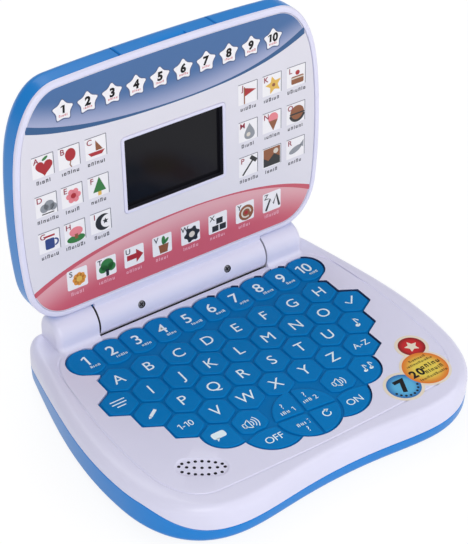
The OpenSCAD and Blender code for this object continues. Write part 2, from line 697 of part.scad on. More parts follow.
// A ring on a quarter-round edge: r_in inwards and r_up along z from z0
function edge_ring(r_in, z0, r_up, a) = let (pts = inset(lid_edge, r_in * (1 - cos(a))))
    ring(pts, z0 + r_up * sin(a));

lid_boss_at = [[lid_half - 20, lid_bottom + 22], [lid_half - 16, lid_top - 30]];
lid_boss_r = 3.4;
lid_boss_z = lid_back + wall + 4;
lid_head_z = lid_back + 0.6;

// Half of the barrel, in front of (1) or behind (-1) the seam
module barrel_half_shell(front) {
    split = front == 1 ? lid_seam : lid_seam - seam_gap;
    difference() {
        union() {
            rod_x(-barrel_half, barrel_half, barrel_r);
            // Neck that joins the barrel to the lid
            translate([-barrel_half, barrel_r - 4, front == 1 ? split : -barrel_r + 2.6])
                cube([2 * barrel_half, lid_bottom + 1.4 - barrel_r + 4,
                    front == 1 ? rim_face - 0.4 - split : barrel_r - 2.6 + split]);
        }
        rod_x(wall - barrel_half, barrel_half - wall, barrel_r - wall);
        translate([-base_w, -base_d, front == 1 ? split - base_d : split])
            cube([2 * base_w, 2 * base_d, base_d]);
    }
}

barrel_screw_x = 29.5;
barrel_screw_turn = 18;

// Runs its children along the slanted axis of a barrel screw, z out of the barrel's face
module at_barrel_screws() for (s = [-1, 1]) translate([s * barrel_screw_x, 0, 0])
    rotate([-barrel_screw_turn, 0, 0]) children();

module window_block(margin, z0, h) translate([-window_w / 2 - margin, window_v - window_h / 2 - margin, z0])
    cube([window_w + 2 * margin, window_h + 2 * margin, h]);

holder_margin = 5;
holder_depth = 7;
glass_t = 1.4;
glass_margin = 2.6;
lcd_t = 2.6;
lcd_z = frame_back - glass_t - lcd_t;
display_board_z = frame_back - holder_depth - board_t;
display_hole = [window_w / 2 + holder_margin + 4, window_h / 2 + 1];

module at_display_holes() for (sx = [-1, 1], sy = [-1, 1])
    translate([sx * display_hole.x, window_v + sy * display_hole.y, 0]) children();

module lid_front_frame() color(white) at_lid() difference() {
    union() {
        loft(concat(
            [ring(inset(lid_edge, wall + 0.3), frame_back), ring(inset(lid_edge, wall + 0.3), lid_seam),
                ring(lid_edge, lid_seam)],
            [for (a = [0, 22, 45, 67, 90]) edge_ring(2, rim_face - 2, 2, a)],
            [ring(inset(lid_edge, rim_w - 0.6), rim_face), ring(inset(lid_edge, rim_w), rim_face - 0.5),
                ring(inset(lid_edge, rim_w), recess_face)]));
        window_block(bezel_w, recess_face - 1, rim_face - recess_face + 0.9);
        barrel_half_shell(1);
        for (s = [-1, 1], h = lid_boss_at) translate([s * h.x, h.y, lid_boss_z])
            cylinder(r = lid_boss_r, h = frame_back - lid_boss_z + 0.5);
        at_display_holes() translate([0, 0, frame_back - holder_depth])
            cylinder(r = 2.8, h = holder_depth + 0.5);
    }
    window_block(0, frame_back - 1, lid_t);
    for (s = [-1, 1], h = lid_boss_at) translate([s * h.x, h.y, lid_boss_z - 1])
        cylinder(r = pilot_r, h = frame_back - lid_boss_z + 1.6);
    at_display_holes() translate([0, 0, frame_back - holder_depth - 1]) cylinder(r = 0.9, h = holder_depth);
    at_barrel_screws() {
        translate([0, 0, barrel_r - wall - 1]) cylinder(r = 1.5, h = 2 * wall + 2);
        translate([0, 0, barrel_r - wall + 0.7]) cylinder(r = 2.3, h = 6);
    }
}

grip_half = 29.7;
grip_gap = 0.5;
grip_deep = 5;
grip_lip = 3.4;

// Rings over the rounded edge of the lid's back, from the flat back to the side
function back_rings() = [for (a = [90, 72, 54, 36, 18, 0])
    edge_ring(back_round, lid_back + back_round, -back_round, a)];

module lid_back_shell() color(blue) at_lid() difference() {
    union() {
        difference() {
            loft(concat(back_rings(),
                [ring(lid_edge, lid_seam - seam_gap), ring(inset(lid_edge, wall), lid_seam - seam_gap)],
                [for (a = [0, 30, 60, 90])
                    let (k = inset(lid_edge, wall + (back_round - wall) * (1 - cos(a))))
                    ring(k, lid_back + back_round - (back_round - wall) * sin(a))]));
            // Seat of the lift grip at the free edge
            translate([-grip_half - grip_gap, lid_top - grip_deep, lid_back + grip_lip])
                cube([2 * (grip_half + grip_gap), 20, lid_seam - lid_back]);
        }
        // Wall behind the grip's seat
        translate([-grip_half - grip_gap - wall, lid_top - grip_deep - wall, lid_back + 1])
            cube([2 * (grip_half + grip_gap + wall), wall, frame_back - 0.1 - lid_back - 1]);
        barrel_half_shell(-1);
        // Webs that hold the hinge pins
        for (s = [-1, 1], x = [barrel_half - 2 * wall - 1, barrel_half - 14]) difference() {
            translate([s > 0 ? x : -x - wall - 1, 0, 0]) rod_x(0, wall + 1, barrel_r - 1);
            translate([-base_w, -base_d, lid_seam - seam_gap]) cube([2 * base_w, 2 * base_d, base_d]);
        }
        for (s = [-1, 1], h = lid_boss_at) translate([s * h.x, h.y, lid_back + 1])
            cylinder(r = lid_boss_r, h = lid_boss_z - lid_back - 1);
        // Bosses that take the barrel screws
        intersection() {
            at_barrel_screws() translate([0, 0, -barrel_r + 1]) cylinder(r = 3.2, h = barrel_r + 2.5);
            rod_x(-barrel_half, barrel_half, barrel_r - 0.5);
        }
    }
    for (s = [-1, 1], h = lid_boss_at) translate([s * h.x, h.y, lid_back - 1]) {
        cylinder(r = head_r + 0.3, h = lid_head_z + head_h - lid_back + 1);
        cylinder(r = screw_r + 0.3, h = 10);
    }
    both_sides() rod_x(barrel_half - 15, barrel_half + 1, pin_r);
    at_barrel_screws() translate([0, 0, -5]) cylinder(r = 0.95, h = 12);
}

// Printed sheet in the recess of the front frame
module lid_faceplate() color([0.86, 0.85, 0.90]) at_lid() difference() {
    translate([0, 0, recess_face]) linear_extrude(faceplate_t) polygon(inset(lid_edge, rim_w + 0.3));
    window_block(bezel_w + 0.2, 0, lid_t);
}

module display_window() color([0.08, 0.08, 0.10]) at_lid()
    window_block(glass_margin, frame_back - glass_t, glass_t);

module lcd_panel() color([0.32, 0.35, 0.32]) at_lid() window_block(glass_margin - 1, lcd_z, lcd_t);

module lcd_holder() color([0.92, 0.92, 0.90]) at_lid() difference() {
    window_block(holder_margin, frame_back - holder_depth, holder_depth);
    window_block(glass_margin + 0.1, frame_back - glass_t - 0.1, 4);
    window_block(glass_margin - 0.9, lcd_z, lcd_t + glass_t);
    window_block(glass_margin - 4, frame_back - holder_depth - 1, holder_depth);
    // Slots for the two contact strips
    for (s = [-1, 1]) translate([-window_w / 2 + 2, window_v + s * (window_h / 2 - 0.4) - 1.1,
        frame_back - holder_depth - 1]) cube([window_w - 4, 2.2, holder_depth]);
}

// Rubber strips that join the panel's contacts to the board
module contact_strips() color([0.9, 0.6, 0.65]) at_lid() for (s = [-1, 1])
    translate([-window_w / 2 + 2.1, window_v + s * (window_h / 2 - 0.4) - 1, frame_back - holder_depth])
        cube([window_w - 4.2, 2, lcd_z - frame_back + holder_depth]);

module display_board() color([0.10, 0.36, 0.18]) at_lid() {
    translate([0, 0, display_board_z]) linear_extrude(board_t) difference() {
        translate([-display_hole.x - 4.5, window_v - display_hole.y - 4.5])
            square([2 * display_hole.x + 9, 2 * display_hole.y + 9]);
        at_display_holes() circle(r = 1.3);
    }
    translate([0, window_v, display_board_z - 1.2]) cylinder(r = 9, h = 1.2 + eps);
}

module display_board_screws() color("silver") at_lid() at_display_holes() {
    translate([0, 0, display_board_z - 1.2]) cylinder(r = 2, h = 1.2);
    translate([0, 0, display_board_z - eps]) cylinder(r = 0.88, h = board_t + 4);
}

module lid_screws() color("silver") at_lid() for (s = [-1, 1], h = lid_boss_at)
    translate([s * h.x, h.y, lid_head_z]) {
        cylinder(r = head_r, h = head_h);
        cylinder(r = screw_r, h = 10);
    }

module barrel_screws() color([0.25, 0.25, 0.27]) at_lid() at_barrel_screws() {
    translate([0, 0, barrel_r - wall + 0.7]) cylinder(r = 2.2, h = 1.2);
    translate([0, 0, 0]) cylinder(r = 0.9, h = barrel_r - wall + 0.8);
}

// Thumb piece let into the middle of the free edge
module lift_grip() color(blue) at_lid() intersection() {
    loft(concat(back_rings(), [ring(lid_edge, lid_seam - seam_gap - 1),
        ring(inset(lid_edge, 1), lid_seam - seam_gap)]));
    union() {
        translate([-grip_half, lid_top - grip_deep, lid_back + grip_lip])
            cube([2 * grip_half, 20, frame_back - 0.1 - lid_back - grip_lip]);
        translate([-grip_half, lid_top - wall, lid_back + grip_lip])
            cube([2 * grip_half, 20, lid_seam - lid_back]);
    }
}

base_top_cover();
base_bottom_shell();
key_sheet();
contact_mat();
key_board();
key_board_screws();
speaker_frame();
speaker_cone();
speaker_magnet();
speaker_screws();
battery_cover();
battery_cover_screw();
battery_cells();
battery_plates();
battery_springs();
housing_screws();
rubber_feet();
badge_sticker();
hinge_bush_left();
hinge_bush_right();
hinge_pin_left();
hinge_pin_right();
lid_front_frame();
lid_back_shell();
lid_faceplate();
display_window();
lcd_panel();
lcd_holder();
contact_strips();
display_board();
display_board_screws();
lid_screws();
barrel_screws();
lift_grip();
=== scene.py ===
"""Looks of the toy laptop computer: smooth shells, keys, print and finishes round the CAD frame.

Lengths are in millimetres until a mesh is made, where MM turns them into metres. Base pieces are
built in the row frame. Lid pieces are built in the lid's own frame (x along the hinge, v from the
hinge to the free edge, w out of the face) and turned up about the hinge axis.
"""

import json
import math

import bmesh
import bpy
import numpy as np
from mathutils import Matrix, Vector


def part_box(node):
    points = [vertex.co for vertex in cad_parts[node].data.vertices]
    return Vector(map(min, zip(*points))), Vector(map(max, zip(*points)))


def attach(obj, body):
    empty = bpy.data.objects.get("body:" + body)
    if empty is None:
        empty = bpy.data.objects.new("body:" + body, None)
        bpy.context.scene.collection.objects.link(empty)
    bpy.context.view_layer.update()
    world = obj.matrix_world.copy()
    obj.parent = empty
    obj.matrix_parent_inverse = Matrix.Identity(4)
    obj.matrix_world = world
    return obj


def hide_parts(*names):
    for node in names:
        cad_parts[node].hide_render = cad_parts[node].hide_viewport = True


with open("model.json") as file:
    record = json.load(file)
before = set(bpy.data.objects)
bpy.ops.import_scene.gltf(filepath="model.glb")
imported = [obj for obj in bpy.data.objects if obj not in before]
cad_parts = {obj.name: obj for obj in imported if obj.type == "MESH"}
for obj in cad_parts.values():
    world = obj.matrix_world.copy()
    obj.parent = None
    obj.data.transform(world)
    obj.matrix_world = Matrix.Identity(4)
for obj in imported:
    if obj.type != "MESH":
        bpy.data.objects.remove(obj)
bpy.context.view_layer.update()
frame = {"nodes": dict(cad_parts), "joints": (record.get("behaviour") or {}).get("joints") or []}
MM = 0.001

# ---- Sizes read from the frame ----


def node_box(node):
    """Lowest and highest corner of a CAD node in millimetres."""
    lo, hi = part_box(node)
    return np.array(lo) / MM, np.array(hi) / MM


cover_lo, cover_hi = node_box("base_top_cover")
HALF_W = round(cover_hi[0], 1)
FRONT_Y, BACK_Y = cover_lo[1], cover_hi[1]
DECK_Z = node_box("badge_sticker")[0][2]
FOOT_H = node_box("base_bottom_shell")[0][2]
_, HINGE_Y, HINGE_Z = [c / MM for c in frame["joints"][0]["pos_m"]]
HINGE_RISE = HINGE_Z - DECK_Z
LID_HALF = HALF_W - 10.9

# ---- Sizes shared with the construction ----

WALL = 2.2
SEAM_GAP = 0.2
SEAM_FRONT, SEAM_SIDE = 15.7, 7.3
SHOULDER_H, SHOULDER_FRONT, SHOULDER_SIDE = 6.6, 4.2, 10.8
FRONT_DIP = 3.6
DECK_HALF, DECK_FRONT, DECK_BACK = HALF_W - 11.8, FRONT_Y + 11, BACK_Y - 23.2
CEILING_Z = DECK_Z - WALL

PITCH = 19.6
HALF_GROOVE = 0.7
KEY_RISE = 0.9
KEY_GAP = 0.5
KEY_FLANGE = 1.5
SHEET_TOP = DECK_Z - KEY_RISE - 0.1
KEY_Y0 = (DECK_FRONT + DECK_BACK) / 2 + 1.71 * PITCH
ROW_STEP = math.sqrt(3) / 2

BARREL_R = 11.2
BARREL_HALF = 57.0
BLOCK_START = BARREL_HALF + 0.8
BLOCK_END = 84.0
TROUGH_R = BARREL_R + 0.6
ROOM_R = TROUGH_R + 0.7
LID_LEAN = 2.6

RIM_FACE = HINGE_RISE - 0.5
PLATE_FACE = RIM_FACE - 0.6
RECESS_FACE = PLATE_FACE - 0.6
FRAME_BACK = RECESS_FACE - 2.3
LID_SEAM = RIM_FACE - 2.0
LID_BACK = RIM_FACE - 18.6
LID_BOTTOM = BARREL_R + 0.6
LID_TOP = HINGE_Y - FRONT_Y - 3.4
RIM_W = 3.5
RIM_ROUND = 1.8
BACK_ROUND = 8.6
WINDOW_W, WINDOW_H, WINDOW_V = 63.5, 44.0, 86.4
BEZEL_W = 2.0
GRIP_HALF, GRIP_GAP, GRIP_DEEP, GRIP_LIP = 29.7, 0.5, 5.0, 3.4

# How many points go round the loops of the base, of the lid and of the barrel
AROUND = 960
LID_AROUND = 720
BARREL_SIDES = 128

# ---- Mesh tools ----


def add(name, data):
    """New object in the scene."""
    obj = bpy.data.objects.new(name, data)
    bpy.context.scene.collection.objects.link(obj)
    return obj


def baked(name, whole):
    """Mesh from a bmesh, which is then freed."""
    mesh = bpy.data.meshes.new(name)
    whole.to_mesh(mesh)
    whole.free()
    return mesh


def applied(obj):
    """Mesh of an object with its modifier or its text applied."""
    bpy.context.view_layer.update()
    graph = bpy.context.evaluated_depsgraph_get()
    return bpy.data.meshes.new_from_object(obj.evaluated_get(graph))


def removed(objs):
    for obj in objs:
        bpy.data.objects.remove(obj)


def shade(obj, smooth_angle=35):
    """Smooth shading except across edges sharper than the angle."""
    obj.data.shade_smooth()
    obj.data.set_sharp_from_angle(angle=math.radians(smooth_angle))
    return obj


def make_mesh(name, points, faces, smooth_angle=35):
    """Object from points in millimetres and faces."""
    mesh = bpy.data.meshes.new(name)
    mesh.from_pydata((np.asarray(points, float) * MM).tolist(), [], faces)
    clean = bmesh.new()
    clean.from_mesh(mesh)
    bmesh.ops.recalc_face_normals(clean, faces=clean.faces)
    clean.to_mesh(mesh)
    clean.free()
    return shade(add(name, mesh), smooth_angle)


def ring(points, z):
    """3-D ring from a 2-D outline, at one height or at a height for each point."""
    points = np.asarray(points)
    return np.column_stack([points[:, 0], points[:, 1], np.broadcast_to(z, len(points))])


def loft(name, rings, closed=False):
    """Solid through rings of equal length, with end caps unless the last ring joins the first."""
    count = len(rings[0])
    total = len(rings)
    faces = []
    for k in range(total if closed else total - 1):
        a, b = k * count, (k + 1) % total * count
        faces += [(a + i, a + (i + 1) % count, b + (i + 1) % count, b + i) for i in range(count)]
    if not closed:
        faces.append(tuple(range(count - 1, -1, -1)))
        faces.append(tuple((total - 1) * count + i for i in range(count)))
    return make_mesh(name, np.concatenate(rings), faces)


def box(name, low, high):
    """Box from its lowest and highest corner."""
    x0, y0, z0 = low
    x1, y1, z1 = high
    outline = [(x0, y0), (x1, y0), (x1, y1), (x0, y1)]
    return loft(name, [ring(outline, z0), ring(outline, z1)])


def turned(name, profile, axis="Z", sides=40):
    """Solid of revolution about an axis, X or Z, from (place on the axis, radius) pairs."""
    angles = np.linspace(0, 2 * math.pi, sides, endpoint=False)
    rings = []
    for at, r in profile:
        columns = [r * np.cos(angles), r * np.sin(angles)]
        columns.insert(0 if axis == "X" else 2, np.full(sides, at))
        rings.append(np.column_stack(columns))
    return loft(name, rings)


def moved(obj, x=0, y=0, z=0, turn=None):
    """Moves the object's mesh, in millimetres, after an optional 4x4 turn."""
    matrix = Matrix.Translation((x * MM, y * MM, z * MM))
    obj.data.transform(matrix @ turn if turn else matrix)
    return obj


def turn_about(axis, angle):
    return Matrix.Rotation(math.radians(angle), 4, axis)


def joined(name, objs):
    """One object from several whose meshes lie in the same frame."""
    whole = bmesh.new()
    for obj in objs:
        whole.from_mesh(obj.data)
    mesh = baked(name, whole)
    removed(objs)
    return add(name, mesh)


def mirrored(obj, name):
    """Copy on the other side of the middle."""
    twin = add(name, obj.data.copy())
    twin.data.transform(Matrix.Scale(-1, 4, (1, 0, 0)))
    twin.data.flip_normals()
    return twin


def cut(target, operation, *tools):
    """Applies an exact boolean with each tool in turn and removes the tools."""
    for tool in tools:
        step = target.modifiers.new("cut", "BOOLEAN")
        step.operation = operation
        step.object = tool
        step.solver = "MANIFOLD"
        result = applied(target)
        target.modifiers.clear()
        target.data = result
    removed(tools)
    return shade(target)


def weighted(obj):
    """Keeps large flat faces flat beside rounded edges."""
    step = obj.modifiers.new("weighted", "WEIGHTED_NORMAL")
    step.keep_sharp = True
    return obj


# ---- Outlines ----


def degrees(start, end, count):
    """Evenly spaced angles, given in degrees and returned in radians."""
    return np.radians(np.linspace(start, end, count))


def on_circle(x, y, r, start, end, count):
    """Points along a circle between two angles in degrees."""
    return [(x + r * math.cos(a), y + r * math.sin(a)) for a in degrees(start, end, count)]


def quarter(r, start, end, count):
    """Steps of an edge rounded by r: how far in from each of its two faces."""
    return [(r * (1 - math.cos(a)), r * (1 - math.sin(a))) for a in degrees(start, end, count)]


def mix(a, b, k):
    return a + (b - a) * k


def smoothstep(u):
    v = np.clip(u, 0, 1)
    return v * v * (3 - 2 * v)


def bez(c, t):
    c = np.asarray(c, float)
    return (c[0] * (1 - t) ** 3 + 3 * c[1] * t * (1 - t) ** 2
            + 3 * c[2] * t * t * (1 - t) + c[3] * t**3)


def outline(curves, steps=48):
    """Closed outline, anticlockwise, from the curves of its right half."""
    half = [bez(c, i / steps) for c in curves for i in range(steps)]
    half.append(np.asarray(curves[-1][3], float))
    left = [np.array([-p[0], p[1]]) for p in reversed(half[1:-1])]
    return np.array(half + left)


def inset(points, distance):
    """Outline moved inwards by a distance, or by one distance for each point."""
    tangent = np.roll(points, -1, axis=0) - np.roll(points, 1, axis=0)
    inward = np.column_stack([-tangent[:, 1], tangent[:, 0]])
    inward /= np.linalg.norm(inward, axis=1)[:, None]
    return points + inward * np.reshape(distance, (-1, 1))


def polar(points, centre_y, count):
    """Rows of (x, y, ...) sampled again at equal angles about (0, centre_y)."""
    angle = (np.arctan2(points[:, 1] - centre_y, points[:, 0]) + math.pi / 2) % (2 * math.pi)
    order = np.argsort(angle)
    radius = np.hypot(points[:, 0], points[:, 1] - centre_y)
    at = np.linspace(0, 2 * math.pi, count, endpoint=False)
    columns = [np.interp(at, angle[order], c[order], period=2 * math.pi)
               for c in [radius, *points.T[2:]]]
    x = columns[0] * np.sin(at)
    y = centre_y - columns[0] * np.cos(at)
    return np.column_stack([x, y, *columns[1:]])


def wall_outline():
    dip = FRONT_Y + FRONT_DIP
    corner_x = HALF_W - 51.5
    side = np.array([HALF_W - 1.1, FRONT_Y + 50.5])
    tail = np.array([HALF_W - 14, BACK_Y - 14.5])
    back_x = HALF_W - 26.5
    return outline([
        [(0, dip), (28, dip), (corner_x - 16, FRONT_Y), (corner_x, FRONT_Y)],
        [(corner_x, FRONT_Y), (corner_x + 31, FRONT_Y), side - (3.1, 31), side],
        [side, side + (4.2, 38), tail + (9.1, -37), tail],
        [tail, tail + (-1.7, 6.8), (back_x + 7, BACK_Y), (back_x, BACK_Y)],
        [(back_x, BACK_Y), (back_x * 2 / 3, BACK_Y), (back_x / 3, BACK_Y), (0, BACK_Y)]])


def deck_outline():
    corner = np.array([DECK_HALF - 28, DECK_FRONT + 1.8])
    side = np.array([DECK_HALF - 3.5, DECK_FRONT + 26])
    tail = np.array([DECK_HALF - 3.2, DECK_BACK - 27])
    x = DECK_HALF - 22.5
    return outline([
        [(0, DECK_FRONT), (28, DECK_FRONT), corner - (16, 0.6), corner],
        [corner, corner + (15, 0.8), side - (3.5, 12), side],
        [side, side + (5, 26), tail + (2.6, -28), tail],
        [tail, tail + (-1.6, 15), (x + 12, DECK_BACK), (x, DECK_BACK)],
        [(x, DECK_BACK), (x * 2 / 3, DECK_BACK), (x / 3, DECK_BACK), (0, DECK_BACK)]])


def lid_outline():
    b, t = LID_BOTTOM, LID_TOP
    low = np.array([LID_HALF - 2, b + 26])
    high = np.array([LID_HALF - 3.1, t - 36.6])
    top = LID_HALF - 29.6
    return outline([
        [(0, b), (24, b), (LID_HALF - 51, b), (LID_HALF - 27.6, b)],
        [(LID_HALF - 27.6, b), (LID_HALF - 12.6, b), low - (1.8, 14), low],
        [low, low + (3, 24), high + (3.9, -22), high],
        [high, high + (-3.4, 18), (LID_HALF - 15.6, t - 2.8), (top, t - 1.8)],
        [(top, t - 1.8), (45, t - 0.3), (20, t), (0, t)]])


RISE_LENGTH = 36
FALL_START, FALL_LENGTH = BACK_Y - 69, 85


def rise(y):
    """1 along the sides of the base, falling to 0 at the front and towards the back."""
    falling = smoothstep((y - FALL_START) / FALL_LENGTH)
    return smoothstep((y - FRONT_Y) / RISE_LENGTH) * (1 - falling)


# The smooth curves stay this far inside the construction's outlines, or they would bulge past them
TRIM = 0.08
WALL_LINE = inset(wall_outline(), TRIM)
DECK_LINE = deck_outline()
LID_LINE = inset(lid_outline(), TRIM)
WALL_RISE = rise(WALL_LINE[:, 1])
SEAM_Z = DECK_Z - mix(SEAM_FRONT, SEAM_SIDE, WALL_RISE)
SHOULDER_LINE = inset(WALL_LINE, mix(SHOULDER_FRONT, SHOULDER_SIDE, WALL_RISE))

# ---- Keyboard layout, in key pitches from the middle of the first letter row ----

# For each row: where it starts, how many keys it has and which row it is
HEX_ROWS = [(-3.5, 8, 0), (-4, 9, -1), (-3.5, 8, -2), (-3, 7, -3), (-1.5, 1, -4), (1.5, 1, -4)]
HEX_KEYS = [(x0 + i, row * ROW_STEP) for x0, count, row in HEX_ROWS for i in range(count)]
HEX_ROUND = 0.55
DISC_STEP = 0.852
DISC_KEYS = [((i - 4.5) * DISC_STEP, 1.12) for i in range(10)]
DISC_R = 0.585
QUIZ_MID, QUIZ_R, QUIZ_TURN = (0, -4), 0.98, -6
POWER_KEYS, POWER_R = [(-1.13, -3.9), (1.13, -3.9)], 0.94
POWER_TOPS, POWER_TOP_R = [(-1.45, -5.2), (1.45, -5.2)], 1.3
END_KEYS, END_R = [(-2.25, -3.35), (2.25, -3.35)], 0.71
FIELD_MID, FIELD_REACH = KEY_Y0 - 1.5 * PITCH, 120
KEY_REACH = 1.3 * PITCH
NEARBY = 1.8


def key_at(key):
    return np.array([key[0] * PITCH, KEY_Y0 + key[1] * PITCH])


# A field is a function of points that gives their distance outside a shape


def disc(key, radius, grow=0.0):
    """Circle about a key, its radius in pitches."""
    return lambda p: np.hypot(*(p - key_at(key)).T) - (radius * PITCH + grow)


def hexagon(key, grow=0.0, corner=0.0):
    """Hexagonal key with points up and down; corner rounds its corners."""
    normals = np.array([(math.cos(a), math.sin(a)) for a in degrees(0, 300, 6)])

    def distance(p):
        sides = normals @ (p - key_at(key)).T - (PITCH / 2 + grow)
        if not corner:
            return sides.max(axis=0)
        return corner * np.log(np.exp(sides / corner).sum(axis=0))

    return distance


def oblong(low, high, grow=0.0):
    centre, half = np.add(low, high) / 2, np.subtract(high, low) / 2
    return lambda p: (np.abs(p - key_at(centre)) - half * PITCH).max(axis=1) - grow


def half_plane(place, direction, room):
    """Everything further than room from a place, in a direction."""
    return lambda p: room - (p - place) @ direction


def either(*fields):
    return lambda p: np.min([field(p) for field in fields], axis=0)


def overlap(*fields):
    return lambda p: np.max([field(p) for field in fields], axis=0)


def outside(field):
    return lambda p: -field(p)


def off_hexagons(key):
    """Clear of the hexagonal keys near a key, by half a groove."""
    near = [h for h in HEX_KEYS if math.dist(h, key) < NEARBY]
    return outside(either(*[hexagon(h, HALF_GROOVE) for h in near]))


FRONT_SHEET = (-2, -4.2), (2, -2.8)
NUMBER_STRIP = (-3.6, 0.1), (3.6, 1.1)
KEY_FIELD = either(*[hexagon(k) for k in HEX_KEYS], *[disc(k, DISC_R) for k in DISC_KEYS],
                   *[disc(k, POWER_R) for k in POWER_KEYS], *[disc(k, END_R) for k in END_KEYS],
                   disc(QUIZ_MID, QUIZ_R), oblong(*NUMBER_STRIP), oblong(*FRONT_SHEET))


def traced(field, centre, level, count, reach, step_count=241, halvings=14):
    """Outline where a field, seen from a point inside, last passes a level."""
    at = np.linspace(0, 2 * math.pi, count, endpoint=False)
    rays = np.column_stack([np.sin(at), -np.cos(at)])
    steps = np.linspace(0, reach, step_count)
    inside = np.array([field(centre + rays * r) < level for r in steps])
    last = len(steps) - 1 - np.argmax(inside[::-1], axis=0)
    low, high = steps[last], steps[np.minimum(last + 1, len(steps) - 1)]
    for _ in range(halvings):
        middle = (low + high) / 2
        within = field(centre + rays * middle[:, None]) < level
        low, high = np.where(within, middle, low), np.where(within, high, middle)
    return centre + rays * low[:, None]


def field_outline(grow):
    return traced(KEY_FIELD, np.array([0, FIELD_MID]), grow, AROUND, FIELD_REACH)


# ---- Materials ----


def linear(rgb):
    """Linear colour from 0 to 255 display values."""
    channels = [c / 255 for c in rgb]
    return tuple(c / 12.92 if c <= 0.04045 else ((c + 0.055) / 1.055) ** 2.4
                 for c in channels) + (1.0,)


def feed(tree, made, **values):
    """Sets a node's attributes and inputs, and links the values that are sockets.

    Inputs go by name, with _ for a space, or by number as in_0, in_1 and so on."""
    for key, value in values.items():
        if hasattr(made, key):
            setattr(made, key, value)
            continue
        spot = made.inputs[int(key[3:]) if key.startswith("in_") else key.replace("_", " ")]
        if isinstance(value, bpy.types.NodeSocket):
            tree.links.new(value, spot)
        else:
            spot.default_value = value
    return made


def node(tree, kind, **values):
    return feed(tree, tree.nodes.new(kind), **values)


# Scale of the slow drift in colour and roughness, and how far the colour drifts either way
DRIFT_SCALE = 38.0
DRIFT_TINTS = (0.975, 1.025)


def finish(name, rgb, rough=0.35, grain=0.1, grain_scale=700, drift=0.03, metallic=0.0,
           specular=0.5, second=None, blend=None):
    """Moulded or printed surface: fine grain in the normal, slow drift in roughness and colour.

    second and blend give another colour and a function that builds the factor between the two."""
    made = bpy.data.materials.new(name)
    made.use_nodes = True
    tree = made.node_tree
    where = node(tree, "ShaderNodeTexCoord").outputs["Object"]
    fine = node(tree, "ShaderNodeTexNoise", Vector=where, Scale=grain_scale, Detail=3.0,
                Roughness=0.6).outputs["Fac"]
    slow = node(tree, "ShaderNodeTexNoise", Vector=where, Scale=DRIFT_SCALE,
                Detail=2.0).outputs["Fac"]
    bump = node(tree, "ShaderNodeBump", Strength=grain, Distance=0.0001, Height=fine)
    spread = node(tree, "ShaderNodeMapRange", Value=slow, To_Min=rough - drift,
                  To_Max=rough + drift)
    dark, light = [tuple(min(1, c * tint) for c in linear(rgb)[:3]) + (1,) for tint in DRIFT_TINTS]
    colour = node(tree, "ShaderNodeMix", data_type="RGBA", Factor=slow, in_6=dark,
                  in_7=light).outputs[2]
    if second:
        colour = node(tree, "ShaderNodeMix", data_type="RGBA", Factor=blend(tree, where),
                      in_6=colour, in_7=linear(second)).outputs[2]
    feed(tree, tree.nodes["Principled BSDF"], Base_Color=colour, Metallic=metallic,
         Roughness=spread.outputs["Result"], Specular_IOR_Level=specular,
         Normal=bump.outputs["Normal"])
    return made


def fade(tree, value, start, end):
    """Smooth factor from 0 to 1 between two lengths in millimetres."""
    return node(tree, "ShaderNodeMapRange", interpolation_type="SMOOTHSTEP", Value=value,
                From_Min=start * MM, From_Max=end * MM).outputs["Result"]


def ramp_over(start, end, bow):
    """Blend from 0 to 1 between two heights above the table.

    The level lines bow upwards away from the middle by bow times the square of x."""

    def build(tree, where):
        split = node(tree, "ShaderNodeSeparateXYZ", Vector=where)
        square = node(tree, "ShaderNodeMath", operation="POWER", in_0=split.outputs["X"], in_1=2.0)
        level = node(tree, "ShaderNodeMath", operation="MULTIPLY_ADD", in_0=square.outputs[0],
                     in_1=-bow / MM, in_2=split.outputs["Z"])
        return fade(tree, level.outputs[0], start, end)

    return build


def disc_fade(x, y, inner, outer):
    """Blend from 0 inside one radius about a place on the deck to 1 at another."""

    def build(tree, where):
        away = node(tree, "ShaderNodeVectorMath", operation="DISTANCE", in_0=where,
                    in_1=(x * MM, y * MM, DECK_Z * MM))
        return fade(tree, away.outputs["Value"], inner, outer)

    return build


def ink(name, rgb):
    """Finish of the smaller prints on the faceplate."""
    return finish(name, rgb, rough=0.4, grain=0.03)


def zone_ink(name, rgb, **values):
    """Finish of the faceplate's coloured zones and bands."""
    return finish(name, rgb, rough=0.33, grain=0.03, specular=0.3, **values)


white_plastic = finish("white_plastic", (221, 220, 242), rough=0.3, grain=0.06, drift=0.01,
                       specular=0.4)
blue_plastic = finish("blue_plastic", (4, 127, 210), rough=0.3, grain=0.08, specular=0.3)
# The key sheet is one blue, painted darker low down and lighter up on the key tops: painted shade
# in the grooves
key_plastic = finish("key_plastic", (0, 112, 180), rough=0.42, grain=0.12, specular=0.07,
                     second=(0, 120, 190), blend=ramp_over(SHEET_TOP + 0.1, SHEET_TOP + 0.72, 0.0))
plate_film = finish("plate_film", (220, 218, 228), rough=0.33, grain=0.05, grain_scale=1200,
                    specular=0.3)
white_print = finish("white_print", (230, 246, 255), rough=0.5, grain=0.05)
black_print = finish("black_print", (20, 18, 22), rough=0.45, grain=0.02, specular=0.2)
# Painted shade: near-black for the walls of the grille's holes, the room round the barrel, the
# barrel's ends, the counterbores and the cross recesses, where shade falls
painted_shade = finish("painted_shade", (44, 42, 50), rough=0.8, grain=0.0)
# Painted shade: navy for the right-hand walls of the key sheet's cut-out, in the gap beside the
# sheet
painted_gap_shade = finish("painted_gap_shade", (34, 56, 100), rough=0.8, grain=0.0)
# Painted shade: dark grey for the walls of the window's opening
painted_window_shade = finish("painted_window_shade", (40, 40, 48), rough=0.4, grain=0.0, specular=0.2)
screw_grey = finish("screw_grey", (122, 122, 130), rough=0.42, metallic=0.25, grain=0.2)


